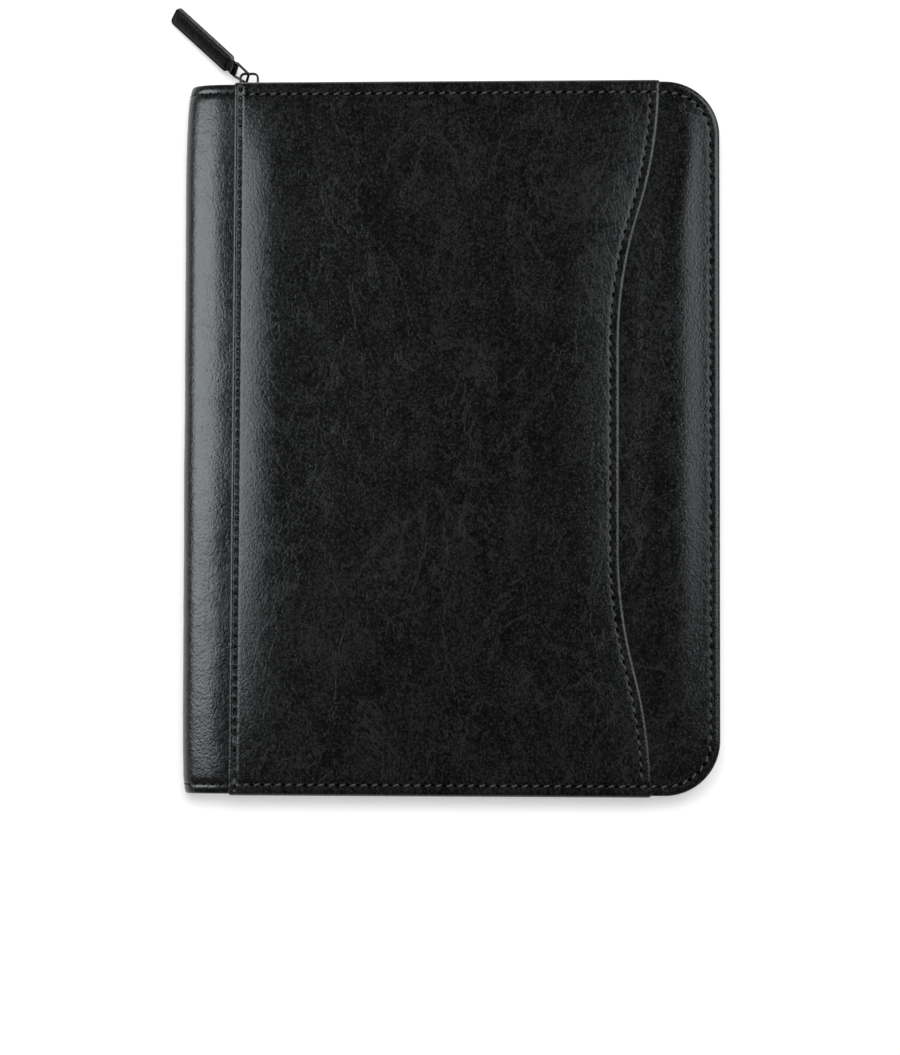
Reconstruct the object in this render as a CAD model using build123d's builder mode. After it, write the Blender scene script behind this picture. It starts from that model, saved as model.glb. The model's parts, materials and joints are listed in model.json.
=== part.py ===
"""A zippered padfolio: two boarded leather covers round a soft spine, closed by a zip on three sides.

Millimetres. The origin is on the back cover's flat underside, at the middle of the plan outline.
+X runs from the spine to the far zip edge, +Y to the top edge, +Z up through the closed covers.
"""

import os
from math import ceil, cos, radians, sin

from build123d import *

# Writing pad: a standard letter pad, which the covers are sized for
pad_width = 216.0
pad_length = 279.0
pad_side_gap = 4.75
pad_end_gap = 28.0
pad_card_thickness = 1.2
pad_paper_thickness = 5.0
pad_binding_thickness = 0.3
pad_binding_lap = 12.0

# Covers: corners and layers
corner_radius = 26.0
leather_thickness = 1.2
board_thickness = 2.0
lining_thickness = 0.5
hem_width = 9.0
hem_round = 0.9
board_fit_gap = 0.3
board_setback = 1.0

# Spine: a soft D section between the two cover seams
spine_width = 24.0
spine_round = 10.0
spine_board_width = 11.0
spine_board_end_gap = 7.0

# Outside pocket: the front flap and its curved opening edge
pocket_lap = 1.5
pocket_edge_round = 0.5
pocket_edge_inset = 46.8
pocket_top_end_inset = 28.0
pocket_bottom_end_inset = 32.0
pocket_top_bend = 124.5
pocket_bottom_bend = 115.0

# Zip: tapes that stand as the side walls, and the rows of teeth between them
tape_inset = 0.8
tape_thickness = 0.6
tape_tail = 5.0
lining_tape_gap = 0.4
tape_opening = 3.0
tooth_pitch = 3.0
tooth_root = 1.5
tooth_tip = 0.9
tooth_overlap = 2.0
tooth_thickness = 2.2
stop_length = 2.4
stop_grip = 2.0
stop_head = 0.7
stop_gap = 0.4

# Zip slider, parked at the spine end of the top edge
slider_setback = 4.0
slider_length = 12.0
slider_nose_height = 9.2
slider_tail_height = 7.0
slider_corner = 1.2
slider_plate = 1.2
slider_channel = 2.6
slider_flange = 0.9
slider_tape_slot = 1.2
slider_mouth_length = 3.6
slider_throat_length = 2.4
slider_throat_height = 4.6
diamond_length = 4.8
diamond_height = 2.4
slider_clearance = 1.2

# Bail on the slider, and the pull that hangs in it
bail_length = 9.4
bail_height = 6.4
bail_gauge = 1.1
bail_width = 1.8
bail_round = 2.6
pull_standoff = 3.6
pull_offset = 0.8
pull_heading = 141.7
pull_droop = 8.5
pull_roll = 50.0
link_wire = 1.3
link_length = 8.5
link_bail_width = 7.0
link_tab_width = 9.6
link_corner = 0.9
tab_length = 38.0
tab_width = 9.4
tab_neck_width = 5.6
tab_neck_length = 3.4
tab_thickness = 2.4
tab_end_round = 2.2
tab_barrel_wall = 1.1
tab_bar_clearance = 0.05

# The pad's slot panel and the pen loop
pad_slot_drop = 44.5
pad_slot_thickness = 1.0
pad_slot_fit = 0.3
document_gap = 5.6
pen_bore = 11.0
pen_loop_length = 25.0
pen_loop_wall = 0.8
pen_loop_x_from_seam = 12.0
pen_loop_drop = 55.5

# Organizer inside the front cover
file_pocket_inset = 8.0
file_pocket_drop = 107.5
file_pocket_thickness = 0.8
gusset_depth = 1.6
gusset_band = 3.0
card_slot_count = 3
card_slot_width = 92.0
card_slot_height = 84.0
card_slot_step = 13.0
card_slot_thickness = 0.6
organizer_margin = 10.0
window_width = 88.0
window_height = 66.0
window_border = 6.0
window_sheet_thickness = 0.3
window_frame_thickness = 0.6

# Plan size of the closed padfolio, from the pad out
lining_inset = tape_inset + tape_thickness + lining_tape_gap
cover_width = spine_width + pad_side_gap + pad_width + pad_side_gap + lining_inset
cover_height = pad_length + 2 * pad_end_gap

# Places in plan
right_x = cover_width / 2
left_x = -cover_width / 2
half_height = cover_height / 2
seam_x = left_x + spine_width
board_left_x = seam_x + board_setback
pad_x = seam_x + pad_side_gap + pad_width / 2
pad_slot_top = pad_length / 2 - pad_slot_drop
pen_loop_y = half_height - pen_loop_drop
file_pocket_top = half_height - file_pocket_drop
tape_middle_inset = tape_inset + tape_thickness / 2
zip_y = half_height - tape_middle_inset
tape_left_x = seam_x - tape_tail

# Levels, from the table up to the front pocket panel
back_board_z = leather_thickness
back_lining_z = back_board_z + board_thickness
back_inside_z = back_lining_z + lining_thickness
pad_slot_z = back_inside_z + pad_card_thickness
pad_paper_z = pad_slot_z + pad_slot_thickness
pad_top_z = pad_paper_z + pad_paper_thickness
card_slot_depth = card_slot_count * card_slot_thickness
organizer_depth = gusset_depth + file_pocket_thickness + card_slot_depth
front_inside_z = pad_top_z + document_gap + organizer_depth
front_board_z = front_inside_z + lining_thickness
front_leather_z = front_board_z + board_thickness
pocket_panel_z = front_leather_z + leather_thickness
zip_z = (back_inside_z + front_inside_z) / 2
lower_tape_top_z = zip_z - tape_opening / 2
upper_tape_bottom_z = zip_z + tape_opening / 2

# The slider's own places
slider_x = seam_x + slider_setback
slider_left_x = slider_x - slider_length / 2
slider_right_x = slider_x + slider_length / 2
slider_face_y = zip_y + slider_channel / 2 + slider_plate
notch_x = slider_right_x + slider_clearance
notch_z = zip_z + slider_nose_height / 2 + slider_clearance
chain_start_x = slider_left_x + diamond_length + tooth_root
chain_end_x = seam_x + stop_length + tooth_root


def cover_face(start_x, inset):
    """Plan outline of a cover layer: square towards the spine, rounded at the two zip corners."""
    end_x = right_x - inset
    with BuildSketch(mode=Mode.PRIVATE) as outline:
        with Locations(((start_x + end_x) / 2, 0)):
            Rectangle(end_x - start_x, 2 * (half_height - inset))
        fillet(outline.vertices().group_by(Axis.X)[-1], corner_radius - inset)
    return outline.sketch


def border_face(start_x, outer_inset, inner_inset):
    """U-shaped band along the three zip edges, open at the spine."""
    with BuildSketch(mode=Mode.PRIVATE) as band:
        add(cover_face(start_x, outer_inset))
        add(cover_face(start_x - hem_width, inner_inset), mode=Mode.SUBTRACT)
    return band.sketch


def spine_face(inset):
    """Section of the spine across Y: a D with its round side out, open faces at the seams."""
    with BuildSketch(Plane.XZ, mode=Mode.PRIVATE) as section:
        with Locations(((left_x + inset + seam_x) / 2, pocket_panel_z / 2)):
            Rectangle(spine_width - inset, pocket_panel_z - 2 * inset)
        fillet(section.vertices().group_by(Axis.X)[0], spine_round - inset)
    return section.sketch


def keep(piece, name):
    """Label a finished piece and write it out."""
    piece.part.label = name
    export_step(piece.part, f"parts/{name}.step")


os.makedirs("parts", exist_ok=True)

# Back cover: leather with its turned-in hem
with BuildPart() as back_leather:
    with BuildSketch():
        add(cover_face(seam_x, 0))
    extrude(amount=leather_thickness)
    with BuildSketch(Plane.XY.offset(back_board_z)):
        add(border_face(seam_x, 0, hem_width))
    extrude(amount=board_thickness - tape_thickness)
    outer_edges = back_leather.faces().sort_by(Axis.Z)[0].edges()
    fillet(outer_edges - outer_edges.group_by(Axis.X)[0], hem_round)
keep(back_leather, "back_leather")

with BuildPart() as back_board:
    with BuildSketch(Plane.XY.offset(back_board_z)):
        add(cover_face(board_left_x, hem_width + board_fit_gap))
    extrude(amount=board_thickness)
keep(back_board, "back_board")

with BuildPart() as back_lining:
    with BuildSketch(Plane.XY.offset(back_lining_z)):
        add(cover_face(seam_x, lining_inset))
    extrude(amount=lining_thickness)
keep(back_lining, "back_lining")

# Lower zip tape: a flange sewn on the hem and a wall that stands up to the teeth
with BuildPart() as lower_zip_tape:
    with BuildSketch(Plane.XY.offset(back_lining_z - tape_thickness)):
        add(border_face(tape_left_x, tape_inset, hem_width))
    extrude(amount=tape_thickness)
    with BuildSketch(Plane.XY.offset(back_lining_z)):
        add(border_face(tape_left_x, tape_inset, tape_inset + tape_thickness))
    extrude(amount=lower_tape_top_z - back_lining_z)
keep(lower_zip_tape, "lower_zip_tape")

# Front cover: the same layers, turned over
with BuildPart() as front_leather:
    with BuildSketch(Plane.XY.offset(front_leather_z)):
        add(cover_face(seam_x, 0))
    extrude(amount=leather_thickness)
    with BuildSketch(Plane.XY.offset(front_leather_z)):
        add(border_face(seam_x, 0, hem_width))
    extrude(amount=tape_thickness - board_thickness)
    top_edges = front_leather.faces().sort_by(Axis.Z)[-1].edges()
    fillet(top_edges - top_edges.group_by(Axis.X)[0], hem_round)
keep(front_leather, "front_leather")

with BuildPart() as front_board:
    with BuildSketch(Plane.XY.offset(front_board_z)):
        add(cover_face(board_left_x, hem_width + board_fit_gap))
    extrude(amount=board_thickness)
keep(front_board, "front_board")

with BuildPart() as front_lining:
    with BuildSketch(Plane.XY.offset(front_inside_z)):
        add(cover_face(seam_x, lining_inset))
    extrude(amount=lining_thickness)
keep(front_lining, "front_lining")

# Upper zip tape, notched where the slider is parked
with BuildPart() as upper_zip_tape:
    with BuildSketch(Plane.XY.offset(front_board_z)):
        add(border_face(tape_left_x, tape_inset, hem_width))
    extrude(amount=tape_thickness)
    with BuildSketch(Plane.XY.offset(upper_tape_bottom_z)):
        add(border_face(tape_left_x, tape_inset, tape_inset + tape_thickness))
    extrude(amount=front_board_z - upper_tape_bottom_z)
    with BuildSketch(Plane.XY.offset(upper_tape_bottom_z)):
        with Locations((tape_left_x, zip_y)):
            Rectangle(2 * (notch_x - tape_left_x), hem_width)
    extrude(amount=notch_z - upper_tape_bottom_z, mode=Mode.SUBTRACT)
keep(upper_zip_tape, "upper_zip_tape")

# Outside pocket panel, with its curved opening edge
pocket_left_x = seam_x - pocket_lap
pocket_mid_x = right_x - pocket_edge_inset
pocket_top_x = right_x - pocket_top_end_inset
pocket_bottom_x = right_x - pocket_bottom_end_inset
pocket_straight_top = half_height - pocket_top_bend
pocket_straight_bottom = half_height - pocket_bottom_bend
top_middle = ((pocket_mid_x + pocket_top_x) / 2, (half_height + pocket_straight_top) / 2)
low_middle = ((pocket_mid_x + pocket_bottom_x) / 2, -(half_height + pocket_straight_bottom) / 2)
with BuildPart() as front_pocket_panel:
    with BuildSketch(Plane.XY.offset(pocket_panel_z)):
        with BuildLine():
            straight = Line((pocket_mid_x, -pocket_straight_bottom), (pocket_mid_x, pocket_straight_top))
            top_bend = TangentArc(straight @ 1, top_middle, tangent=straight % 1)
            top_return = TangentArc(top_bend @ 1, (pocket_top_x, half_height), tangent=top_bend % 1)
            low_bend = TangentArc(straight @ 0, low_middle, tangent=(straight % 0) * -1)
            low_return = TangentArc(low_bend @ 1, (pocket_bottom_x, -half_height), tangent=low_bend % 1)
            Polyline(
                top_return @ 1,
                (pocket_left_x, half_height),
                (pocket_left_x, -half_height),
                low_return @ 1,
            )
        make_face()
    extrude(amount=leather_thickness)
    fillet(front_pocket_panel.faces().sort_by(Axis.Z)[-1].edges(), pocket_edge_round)
keep(front_pocket_panel, "front_pocket_panel")

# Spine: leather, board and lining follow one D section
with BuildPart() as spine_leather:
    with BuildSketch(Plane.XZ):
        add(spine_face(0))
        add(spine_face(leather_thickness), mode=Mode.SUBTRACT)
    extrude(amount=half_height, both=True)
keep(spine_leather, "spine_leather")

with BuildPart() as spine_board:
    with BuildSketch(Plane.XZ):
        add(spine_face(leather_thickness))
        add(spine_face(leather_thickness + board_thickness), mode=Mode.SUBTRACT)
        with Locations((left_x, pocket_panel_z / 2)):
            Rectangle(spine_width, spine_board_width, mode=Mode.INTERSECT)
    extrude(amount=half_height - spine_board_end_gap, both=True)
keep(spine_board, "spine_board")

with BuildPart() as spine_lining:
    with BuildSketch(Plane.XZ):
        add(spine_face(back_lining_z))
        add(spine_face(back_inside_z), mode=Mode.SUBTRACT)
    extrude(amount=half_height - lining_inset, both=True)
keep(spine_lining, "spine_lining")

# Zip teeth: one tooth, set along the middle line of the tapes
# In the tooth's own axes X is its height, Y its thickness and Z runs along the tape.
tooth_height = (tape_opening + tooth_overlap) / 2
with BuildPart() as tooth:
    with BuildSketch(Plane.XZ):
        with BuildLine():
            Polyline(
                (0, tooth_root / 2),
                (tooth_height, tooth_tip / 2),
                (tooth_height, -tooth_tip / 2),
                (0, -tooth_root / 2),
                close=True,
            )
        make_face()
    extrude(amount=tooth_thickness / 2, both=True)

turn_radius = corner_radius - tape_middle_inset
with BuildLine() as zip_line:
    top_run = Line((chain_start_x, zip_y), (right_x - corner_radius, zip_y))
    top_turn = JernArc(top_run @ 1, top_run % 1, turn_radius, -90)
    far_run = Line(top_turn @ 1, ((top_turn @ 1).X, corner_radius - half_height))
    low_turn = JernArc(far_run @ 1, far_run % 1, turn_radius, -90)
    low_run = Line(low_turn @ 1, (chain_end_x, -zip_y))
zip_wire = zip_line.wires()[0]


def tooth_stations(first_distance, height):
    """Places along the zip, one tooth pitch apart, at the edge of a tape."""
    count = int((zip_wire.length - first_distance) / tooth_pitch) + 1
    places = []
    for index in range(count):
        distance = first_distance + index * tooth_pitch
        place = zip_wire.location_at(distance, PositionMode.LENGTH, x_dir=(0, 0, 1))
        places.append(Location((0, 0, height)) * place)
    return places


with BuildPart() as lower_zip_teeth:
    with Locations(*tooth_stations(0, lower_tape_top_z)):
        add(tooth.part)
keep(lower_zip_teeth, "lower_zip_teeth")

upper_first = ceil((notch_x + tooth_root - chain_start_x) / tooth_pitch) + 0.5
with BuildPart() as upper_zip_teeth:
    with Locations(*tooth_stations(upper_first * tooth_pitch, upper_tape_bottom_z)):
        add(tooth.part, rotation=(0, 180, 0))
keep(upper_zip_teeth, "upper_zip_teeth")

# Stops crimped over the tape edges at the ends of the rows
start_stop_x = slider_left_x - stop_length / 2 - stop_gap
end_stop_x = seam_x + stop_length / 2
with BuildPart() as lower_zip_stops:
    with Locations(
        (start_stop_x, zip_y, lower_tape_top_z),
        (end_stop_x, -zip_y, lower_tape_top_z),
    ):
        Box(stop_length, tooth_thickness, stop_head, align=(Align.CENTER, Align.CENTER, Align.MIN))
        Box(stop_length, tooth_thickness, stop_grip, align=(Align.CENTER, Align.CENTER, Align.MAX))
    with Locations(
        (start_stop_x, zip_y, lower_tape_top_z),
        (end_stop_x, -zip_y, lower_tape_top_z),
    ):
        Box(
            stop_length,
            tape_thickness,
            stop_grip,
            align=(Align.CENTER, Align.CENTER, Align.MAX),
            mode=Mode.SUBTRACT,
        )
keep(lower_zip_stops, "lower_zip_stops")

with BuildPart() as upper_zip_stop:
    with Locations((end_stop_x, -zip_y, upper_tape_bottom_z)):
        Box(stop_length, tooth_thickness, stop_head, align=(Align.CENTER, Align.CENTER, Align.MAX))
        Box(stop_length, tooth_thickness, stop_grip, align=(Align.CENTER, Align.CENTER, Align.MIN))
        Box(
            stop_length,
            tape_thickness,
            stop_grip,
            align=(Align.CENTER, Align.CENTER, Align.MIN),
            mode=Mode.SUBTRACT,
        )
keep(upper_zip_stop, "upper_zip_stop")


def slider_outline():
    """Shield outline of a slider plate, in X and Z about the slider's middle."""
    with BuildSketch(Plane.XZ, mode=Mode.PRIVATE) as shield:
        with BuildLine():
            Polyline(
                (-slider_length / 2, slider_tail_height / 2),
                (slider_mouth_length - slider_length / 2, slider_nose_height / 2),
                (slider_length / 2, slider_tail_height / 2),
                (slider_length / 2, -slider_tail_height / 2),
                (slider_mouth_length - slider_length / 2, -slider_nose_height / 2),
                (-slider_length / 2, -slider_tail_height / 2),
                close=True,
            )
        make_face()
        fillet(shield.vertices(), slider_corner)
    return shield.sketch


# Slider body: two plates, four guide flanges and the diamond post that parts the rows
slider_plane = Plane((slider_x, zip_y, zip_z), x_dir=(1, 0, 0), z_dir=(0, -1, 0))
flange_reach = (slider_channel - slider_tape_slot) / 2
with BuildPart() as slider_body:
    for side in (1, -1):
        with BuildSketch(slider_plane.offset(side * slider_channel / 2)):
            add(slider_outline())
        extrude(amount=side * slider_plate)
        with BuildSketch(slider_plane.offset(side * slider_channel / 2)):
            add(slider_outline())
            offset(slider_outline(), amount=-slider_flange, mode=Mode.SUBTRACT)
            with Locations((-slider_length / 2, 0)):
                Rectangle(2 * slider_mouth_length, slider_nose_height, mode=Mode.SUBTRACT)
            with Locations((slider_length / 2, 0)):
                Rectangle(2 * slider_throat_length, slider_throat_height, mode=Mode.SUBTRACT)
        extrude(amount=-side * flange_reach)
    with BuildSketch(slider_plane):
        with BuildLine():
            Polyline(
                (-slider_length / 2, 0),
                (diamond_length / 2 - slider_length / 2, diamond_height / 2),
                (diamond_length - slider_length / 2, 0),
                (diamond_length / 2 - slider_length / 2, -diamond_height / 2),
                close=True,
            )
        make_face()
    extrude(amount=slider_channel / 2, both=True)
keep(slider_body, "slider_body")

# Bail: a strip bent into an arch on the slider's outer plate
with BuildPart() as slider_bail:
    with BuildSketch(Plane((slider_x, slider_face_y, zip_z))) as arch:
        Rectangle(bail_length, bail_height, align=(Align.CENTER, Align.MIN))
        fillet(arch.vertices().group_by(Axis.Y)[-1], bail_round)
        with BuildSketch(mode=Mode.PRIVATE) as opening:
            Rectangle(
                bail_length - 2 * bail_gauge,
                bail_height - bail_gauge,
                align=(Align.CENTER, Align.MIN),
            )
            fillet(opening.vertices().group_by(Axis.Y)[-1], bail_round - bail_gauge)
        add(opening.sketch, mode=Mode.SUBTRACT)
    extrude(amount=bail_width / 2, both=True)
keep(slider_bail, "slider_bail")

# The pull's own plane: X along its length, Y across its width
pull_pivot = Vector(slider_x - pull_offset, slider_face_y + pull_standoff, zip_z)
heading = Vector(cos(radians(pull_heading)), sin(radians(pull_heading)), 0)
across = Vector(0, 0, 1).cross(heading)
pull_length_dir = heading.rotate(Axis((0, 0, 0), across), pull_droop)
pull_flat_up = Vector(0, 0, 1).rotate(Axis((0, 0, 0), across), pull_droop)
pull_face_dir = pull_flat_up.rotate(Axis((0, 0, 0), pull_length_dir), -pull_roll)
pull_plane = Plane(pull_pivot, x_dir=pull_length_dir, z_dir=pull_face_dir)

# Wire link: a closed loop, narrow at the bail and wide at the tab, bent in two steps at each corner
# It is bent flat, and then set in the bail.
link_bail_half = (link_bail_width - link_wire) / 2
link_tab_half = (link_tab_width - link_wire) / 2
with BuildPart() as bent_wire:
    with BuildLine() as link_line:
        Polyline(
            (0, 0),
            (0, link_bail_half - link_corner),
            (link_corner, link_bail_half),
            (link_length - link_corner, link_tab_half),
            (link_length, link_tab_half - link_corner),
            (link_length, link_corner - link_tab_half),
            (link_length - link_corner, -link_tab_half),
            (link_corner, -link_bail_half),
            (0, link_corner - link_bail_half),
            close=True,
        )
    with BuildSketch(Plane.XZ):
        Circle(link_wire / 2)
    sweep(path=link_line.wires()[0], transition=Transition.RIGHT)

with BuildPart() as pull_link:
    with Locations(pull_plane.location):
        add(bent_wire.part)
keep(pull_link, "pull_link")

# Leather tab: a strip folded round the link's wide bar
barrel_radius = link_wire / 2 + tab_bar_clearance + tab_barrel_wall
bar_plane = Plane(
    pull_plane.from_local_coords((link_length, 0, 0)),
    x_dir=pull_plane.x_dir,
    z_dir=pull_plane.y_dir,
)
tab_start = link_length + tab_neck_length
with BuildPart() as pull_tab:
    with BuildSketch(bar_plane):
        Circle(barrel_radius)
        Rectangle(tab_neck_length + tab_end_round, tab_thickness, align=(Align.MIN, Align.CENTER))
    extrude(amount=tab_neck_width / 2, both=True)
    with BuildSketch(pull_plane) as tab_face:
        with Locations((tab_start, 0)):
            Rectangle(tab_length, tab_width, align=(Align.MIN, Align.CENTER))
        fillet(tab_face.vertices(), tab_end_round)
    extrude(amount=tab_thickness / 2, both=True)
    with BuildSketch(bar_plane):
        Circle(link_wire / 2 + tab_bar_clearance)
    extrude(amount=tab_neck_width, both=True, mode=Mode.SUBTRACT)
keep(pull_tab, "pull_tab")

# Writing pad, between the seam and the zip wall
with BuildPart() as pad_card:
    with Locations((pad_x, 0, back_inside_z)):
        Box(pad_width, pad_length, pad_card_thickness, align=(Align.CENTER, Align.CENTER, Align.MIN))
keep(pad_card, "pad_card")

with BuildPart() as pad_paper:
    with Locations((pad_x, 0, pad_paper_z)):
        Box(pad_width, pad_length, pad_paper_thickness, align=(Align.CENTER, Align.CENTER, Align.MIN))
keep(pad_paper, "pad_paper")

# Binding strip folded over the pad's top edge
binding_section = Plane((pad_x, pad_length / 2, 0), x_dir=(0, 1, 0), z_dir=(1, 0, 0))
with BuildPart() as pad_binding:
    with BuildSketch(binding_section):
        with BuildLine():
            Polyline(
                (0, back_inside_z),
                (pad_binding_thickness, back_inside_z),
                (pad_binding_thickness, pad_top_z + pad_binding_thickness),
                (-pad_binding_lap, pad_top_z + pad_binding_thickness),
                (-pad_binding_lap, pad_top_z),
                (0, pad_top_z),
                close=True,
            )
        make_face()
    extrude(amount=pad_width / 2, both=True)
keep(pad_binding, "pad_binding")

# Slot panel: sewn to the lining on three sides, open at the top for the pad's card
slot_width = pad_width + 2 * pad_slot_fit
slot_foot_y = -pad_length / 2 - pad_slot_fit
with BuildPart() as pad_slot_panel:
    with BuildSketch(Plane.XY.offset(back_inside_z)):
        add(cover_face(seam_x, lining_inset))
        with Locations((seam_x, pad_slot_top)):
            Rectangle(cover_width, cover_height, align=(Align.MIN, Align.MIN), mode=Mode.SUBTRACT)
    extrude(amount=pad_card_thickness + pad_slot_thickness)
    with BuildSketch(Plane.XY.offset(back_inside_z)):
        with Locations((pad_x, slot_foot_y)):
            Rectangle(slot_width, cover_height, align=(Align.CENTER, Align.MIN))
    extrude(amount=pad_card_thickness, mode=Mode.SUBTRACT)
keep(pad_slot_panel, "pad_slot_panel")

# Pen loop: elastic folded into a ring, its ends sewn down beside the pad
pen_x = seam_x - pen_loop_x_from_seam
pen_ring_radius = pen_bore / 2 + pen_loop_wall
pen_z = back_inside_z + pen_ring_radius
pen_tab_end_x = pad_x - slot_width / 2
with BuildPart() as pen_loop:
    with BuildSketch(Plane((0, pen_loop_y, 0), x_dir=(1, 0, 0), z_dir=(0, -1, 0))):
        with Locations((pen_x, pen_z)):
            Circle(pen_ring_radius)
        with Locations((pen_x, back_inside_z)):
            Rectangle(pen_tab_end_x - pen_x, 2 * pen_loop_wall, align=(Align.MIN, Align.MIN))
        with Locations((pen_x, pen_z)):
            Circle(pen_bore / 2, mode=Mode.SUBTRACT)
    extrude(amount=pen_loop_length / 2, both=True)
keep(pen_loop, "pen_loop")

# Document pocket inside the front cover: a panel held off the lining by a gusset on three sides
organizer_left_x = seam_x + file_pocket_inset
gusset_z = front_inside_z - gusset_depth
file_panel_z = gusset_z - file_pocket_thickness


def file_pocket_face(inset):
    """Plan outline of the document pocket, cut straight across at its open top."""
    with BuildSketch(mode=Mode.PRIVATE) as outline:
        add(cover_face(organizer_left_x + inset, file_pocket_inset + inset))
        with Locations((seam_x, file_pocket_top)):
            Rectangle(cover_width, cover_height, align=(Align.MIN, Align.MIN), mode=Mode.SUBTRACT)
    return outline.sketch


with BuildPart() as file_pocket_gusset:
    with BuildSketch(Plane.XY.offset(gusset_z)):
        add(file_pocket_face(0))
        add(file_pocket_face(gusset_band), mode=Mode.SUBTRACT)
    extrude(amount=gusset_depth)
keep(file_pocket_gusset, "file_pocket_gusset")

with BuildPart() as file_pocket_panel:
    with BuildSketch(Plane.XY.offset(file_panel_z)):
        add(file_pocket_face(0))
    extrude(amount=file_pocket_thickness)
keep(file_pocket_panel, "file_pocket_panel")

# Card slots: each layer lies on the one before and stops a step lower
card_x = organizer_left_x + organizer_margin
card_foot_y = file_pocket_top - organizer_margin - card_slot_height
for index in range(card_slot_count):
    with BuildPart() as card_slot:
        with Locations((card_x, card_foot_y, file_panel_z - index * card_slot_thickness)):
            Box(
                card_slot_width,
                card_slot_height - index * card_slot_step,
                card_slot_thickness,
                align=(Align.MIN, Align.MIN, Align.MAX),
            )
    keep(card_slot, f"card_slot_{index + 1}")

# Clear window beside the card slots, under a sewn frame
window_x = card_x + card_slot_width + organizer_margin
window_place = Plane((window_x, card_foot_y, file_panel_z))
with BuildPart() as id_window:
    with BuildSketch(window_place):
        Rectangle(window_width, window_height, align=(Align.MIN, Align.MIN))
    extrude(amount=-window_sheet_thickness)
keep(id_window, "id_window")

with BuildPart() as id_window_frame:
    with BuildSketch(window_place.offset(-window_sheet_thickness)):
        Rectangle(window_width, window_height, align=(Align.MIN, Align.MIN))
        with Locations((window_border, window_border)):
            Rectangle(
                window_width - 2 * window_border,
                window_height - 2 * window_border,
                align=(Align.MIN, Align.MIN),
                mode=Mode.SUBTRACT,
            )
    extrude(amount=-window_frame_thickness)
keep(id_window_frame, "id_window_frame")

print(f"thickness {pocket_panel_z + leather_thickness:.2f}, zip level {zip_z:.2f}")
print(f"pull pivot {pull_pivot}, bar direction {pull_plane.y_dir}, length {pull_length_dir}")
print(f"link bar {bar_plane.origin}, pen axis at x {pen_x:.2f}, z {pen_z:.2f}")
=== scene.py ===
# %% [markdown]
# # A zippered padfolio
#
# This lesson dresses a finished construction model of a black zippered padfolio. The frame holds the
# real sizes, the bodies and their joints. Every leather panel, thread, tape, tooth and metal piece
# that shows is modelled here, in metres, in the frame's own place.

# %% Load the frame
import json
from math import ceil, cos, pi, radians, sin

import bpy
import numpy as np
from mathutils import Matrix, Vector, noise


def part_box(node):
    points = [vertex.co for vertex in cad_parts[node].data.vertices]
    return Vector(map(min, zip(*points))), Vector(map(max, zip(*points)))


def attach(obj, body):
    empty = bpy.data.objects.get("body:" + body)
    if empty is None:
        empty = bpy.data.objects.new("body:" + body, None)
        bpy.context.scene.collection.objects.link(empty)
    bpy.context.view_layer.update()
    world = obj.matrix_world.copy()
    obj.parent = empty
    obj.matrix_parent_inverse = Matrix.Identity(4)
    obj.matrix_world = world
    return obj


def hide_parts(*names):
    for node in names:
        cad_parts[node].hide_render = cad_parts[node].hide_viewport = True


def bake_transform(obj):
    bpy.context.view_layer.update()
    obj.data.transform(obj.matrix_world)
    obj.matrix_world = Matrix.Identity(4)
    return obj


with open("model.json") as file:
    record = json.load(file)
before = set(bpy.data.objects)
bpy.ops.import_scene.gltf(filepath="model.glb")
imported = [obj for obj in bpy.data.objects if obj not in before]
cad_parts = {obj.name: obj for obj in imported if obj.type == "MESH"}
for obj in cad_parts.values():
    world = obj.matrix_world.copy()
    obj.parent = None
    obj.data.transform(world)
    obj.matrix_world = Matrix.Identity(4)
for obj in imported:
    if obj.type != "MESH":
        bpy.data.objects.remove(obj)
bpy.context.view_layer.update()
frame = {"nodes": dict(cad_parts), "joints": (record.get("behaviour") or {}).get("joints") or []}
mm = 0.001
joints = {joint["name"]: joint for joint in frame["joints"]}

# %% [markdown]
# ## Camera
#
# The padfolio lies on its back and is seen from almost straight above, a little from its lower right.
# A long lens keeps the two covers nearly the same size, as a product photographer would.

# %% Camera
camera_place = (69.5 * mm, -131.27 * mm, 1400 * mm)
camera_tilt = (3.681, 2.882, 0.246)
bpy.ops.object.camera_add(location=camera_place)
camera = bpy.context.object
camera.rotation_euler = [radians(angle) for angle in camera_tilt]
camera.data.lens = 118.2
camera.data.sensor_fit = "HORIZONTAL"
camera.data.sensor_width = 36
bpy.context.scene.camera = camera
print("camera", round(camera_place[2] / mm), "mm above the table")

# %% [markdown]
# ## Floor and light
#
# Black leather shows its shape by what it mirrors. A bright soft box at the left draws the band on the
# round spine and on the swell of the panel, a weaker one at the right finds the far edge, and the sky
# overhead stays dim, so the flat of the cover keeps its deep black. The pale floor has a light of its own,
# almost overhead, which gives the short soft shadow. Light linking keeps the two apart.

# %% Floor and light
white = (1, 1, 1, 1)
floor_level = -0.55 * mm
bpy.ops.mesh.primitive_plane_add(size=6, location=(0, 0, floor_level))
floor = bpy.context.object
floor.name = "floor"


def plain_finish(name, values):
    """A material whose shader has the same values all over."""
    material = bpy.data.materials.new(name)
    material.use_nodes = True
    set_sockets(material.node_tree.nodes["Principled BSDF"], values)
    return material


def set_sockets(node, values):
    """Sets the named sockets of a node."""
    for name, value in values.items():
        node.inputs[name].default_value = value


matt_paper = {"Base Color": (0.8, 0.8, 0.8, 1), "Roughness": 0.9, "Specular IOR Level": 0.0}
paper_roll = plain_finish("paper_roll", matt_paper | {"Emission Color": white, "Emission Strength": 0.5})
floor.data.materials.append(paper_roll)


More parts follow.
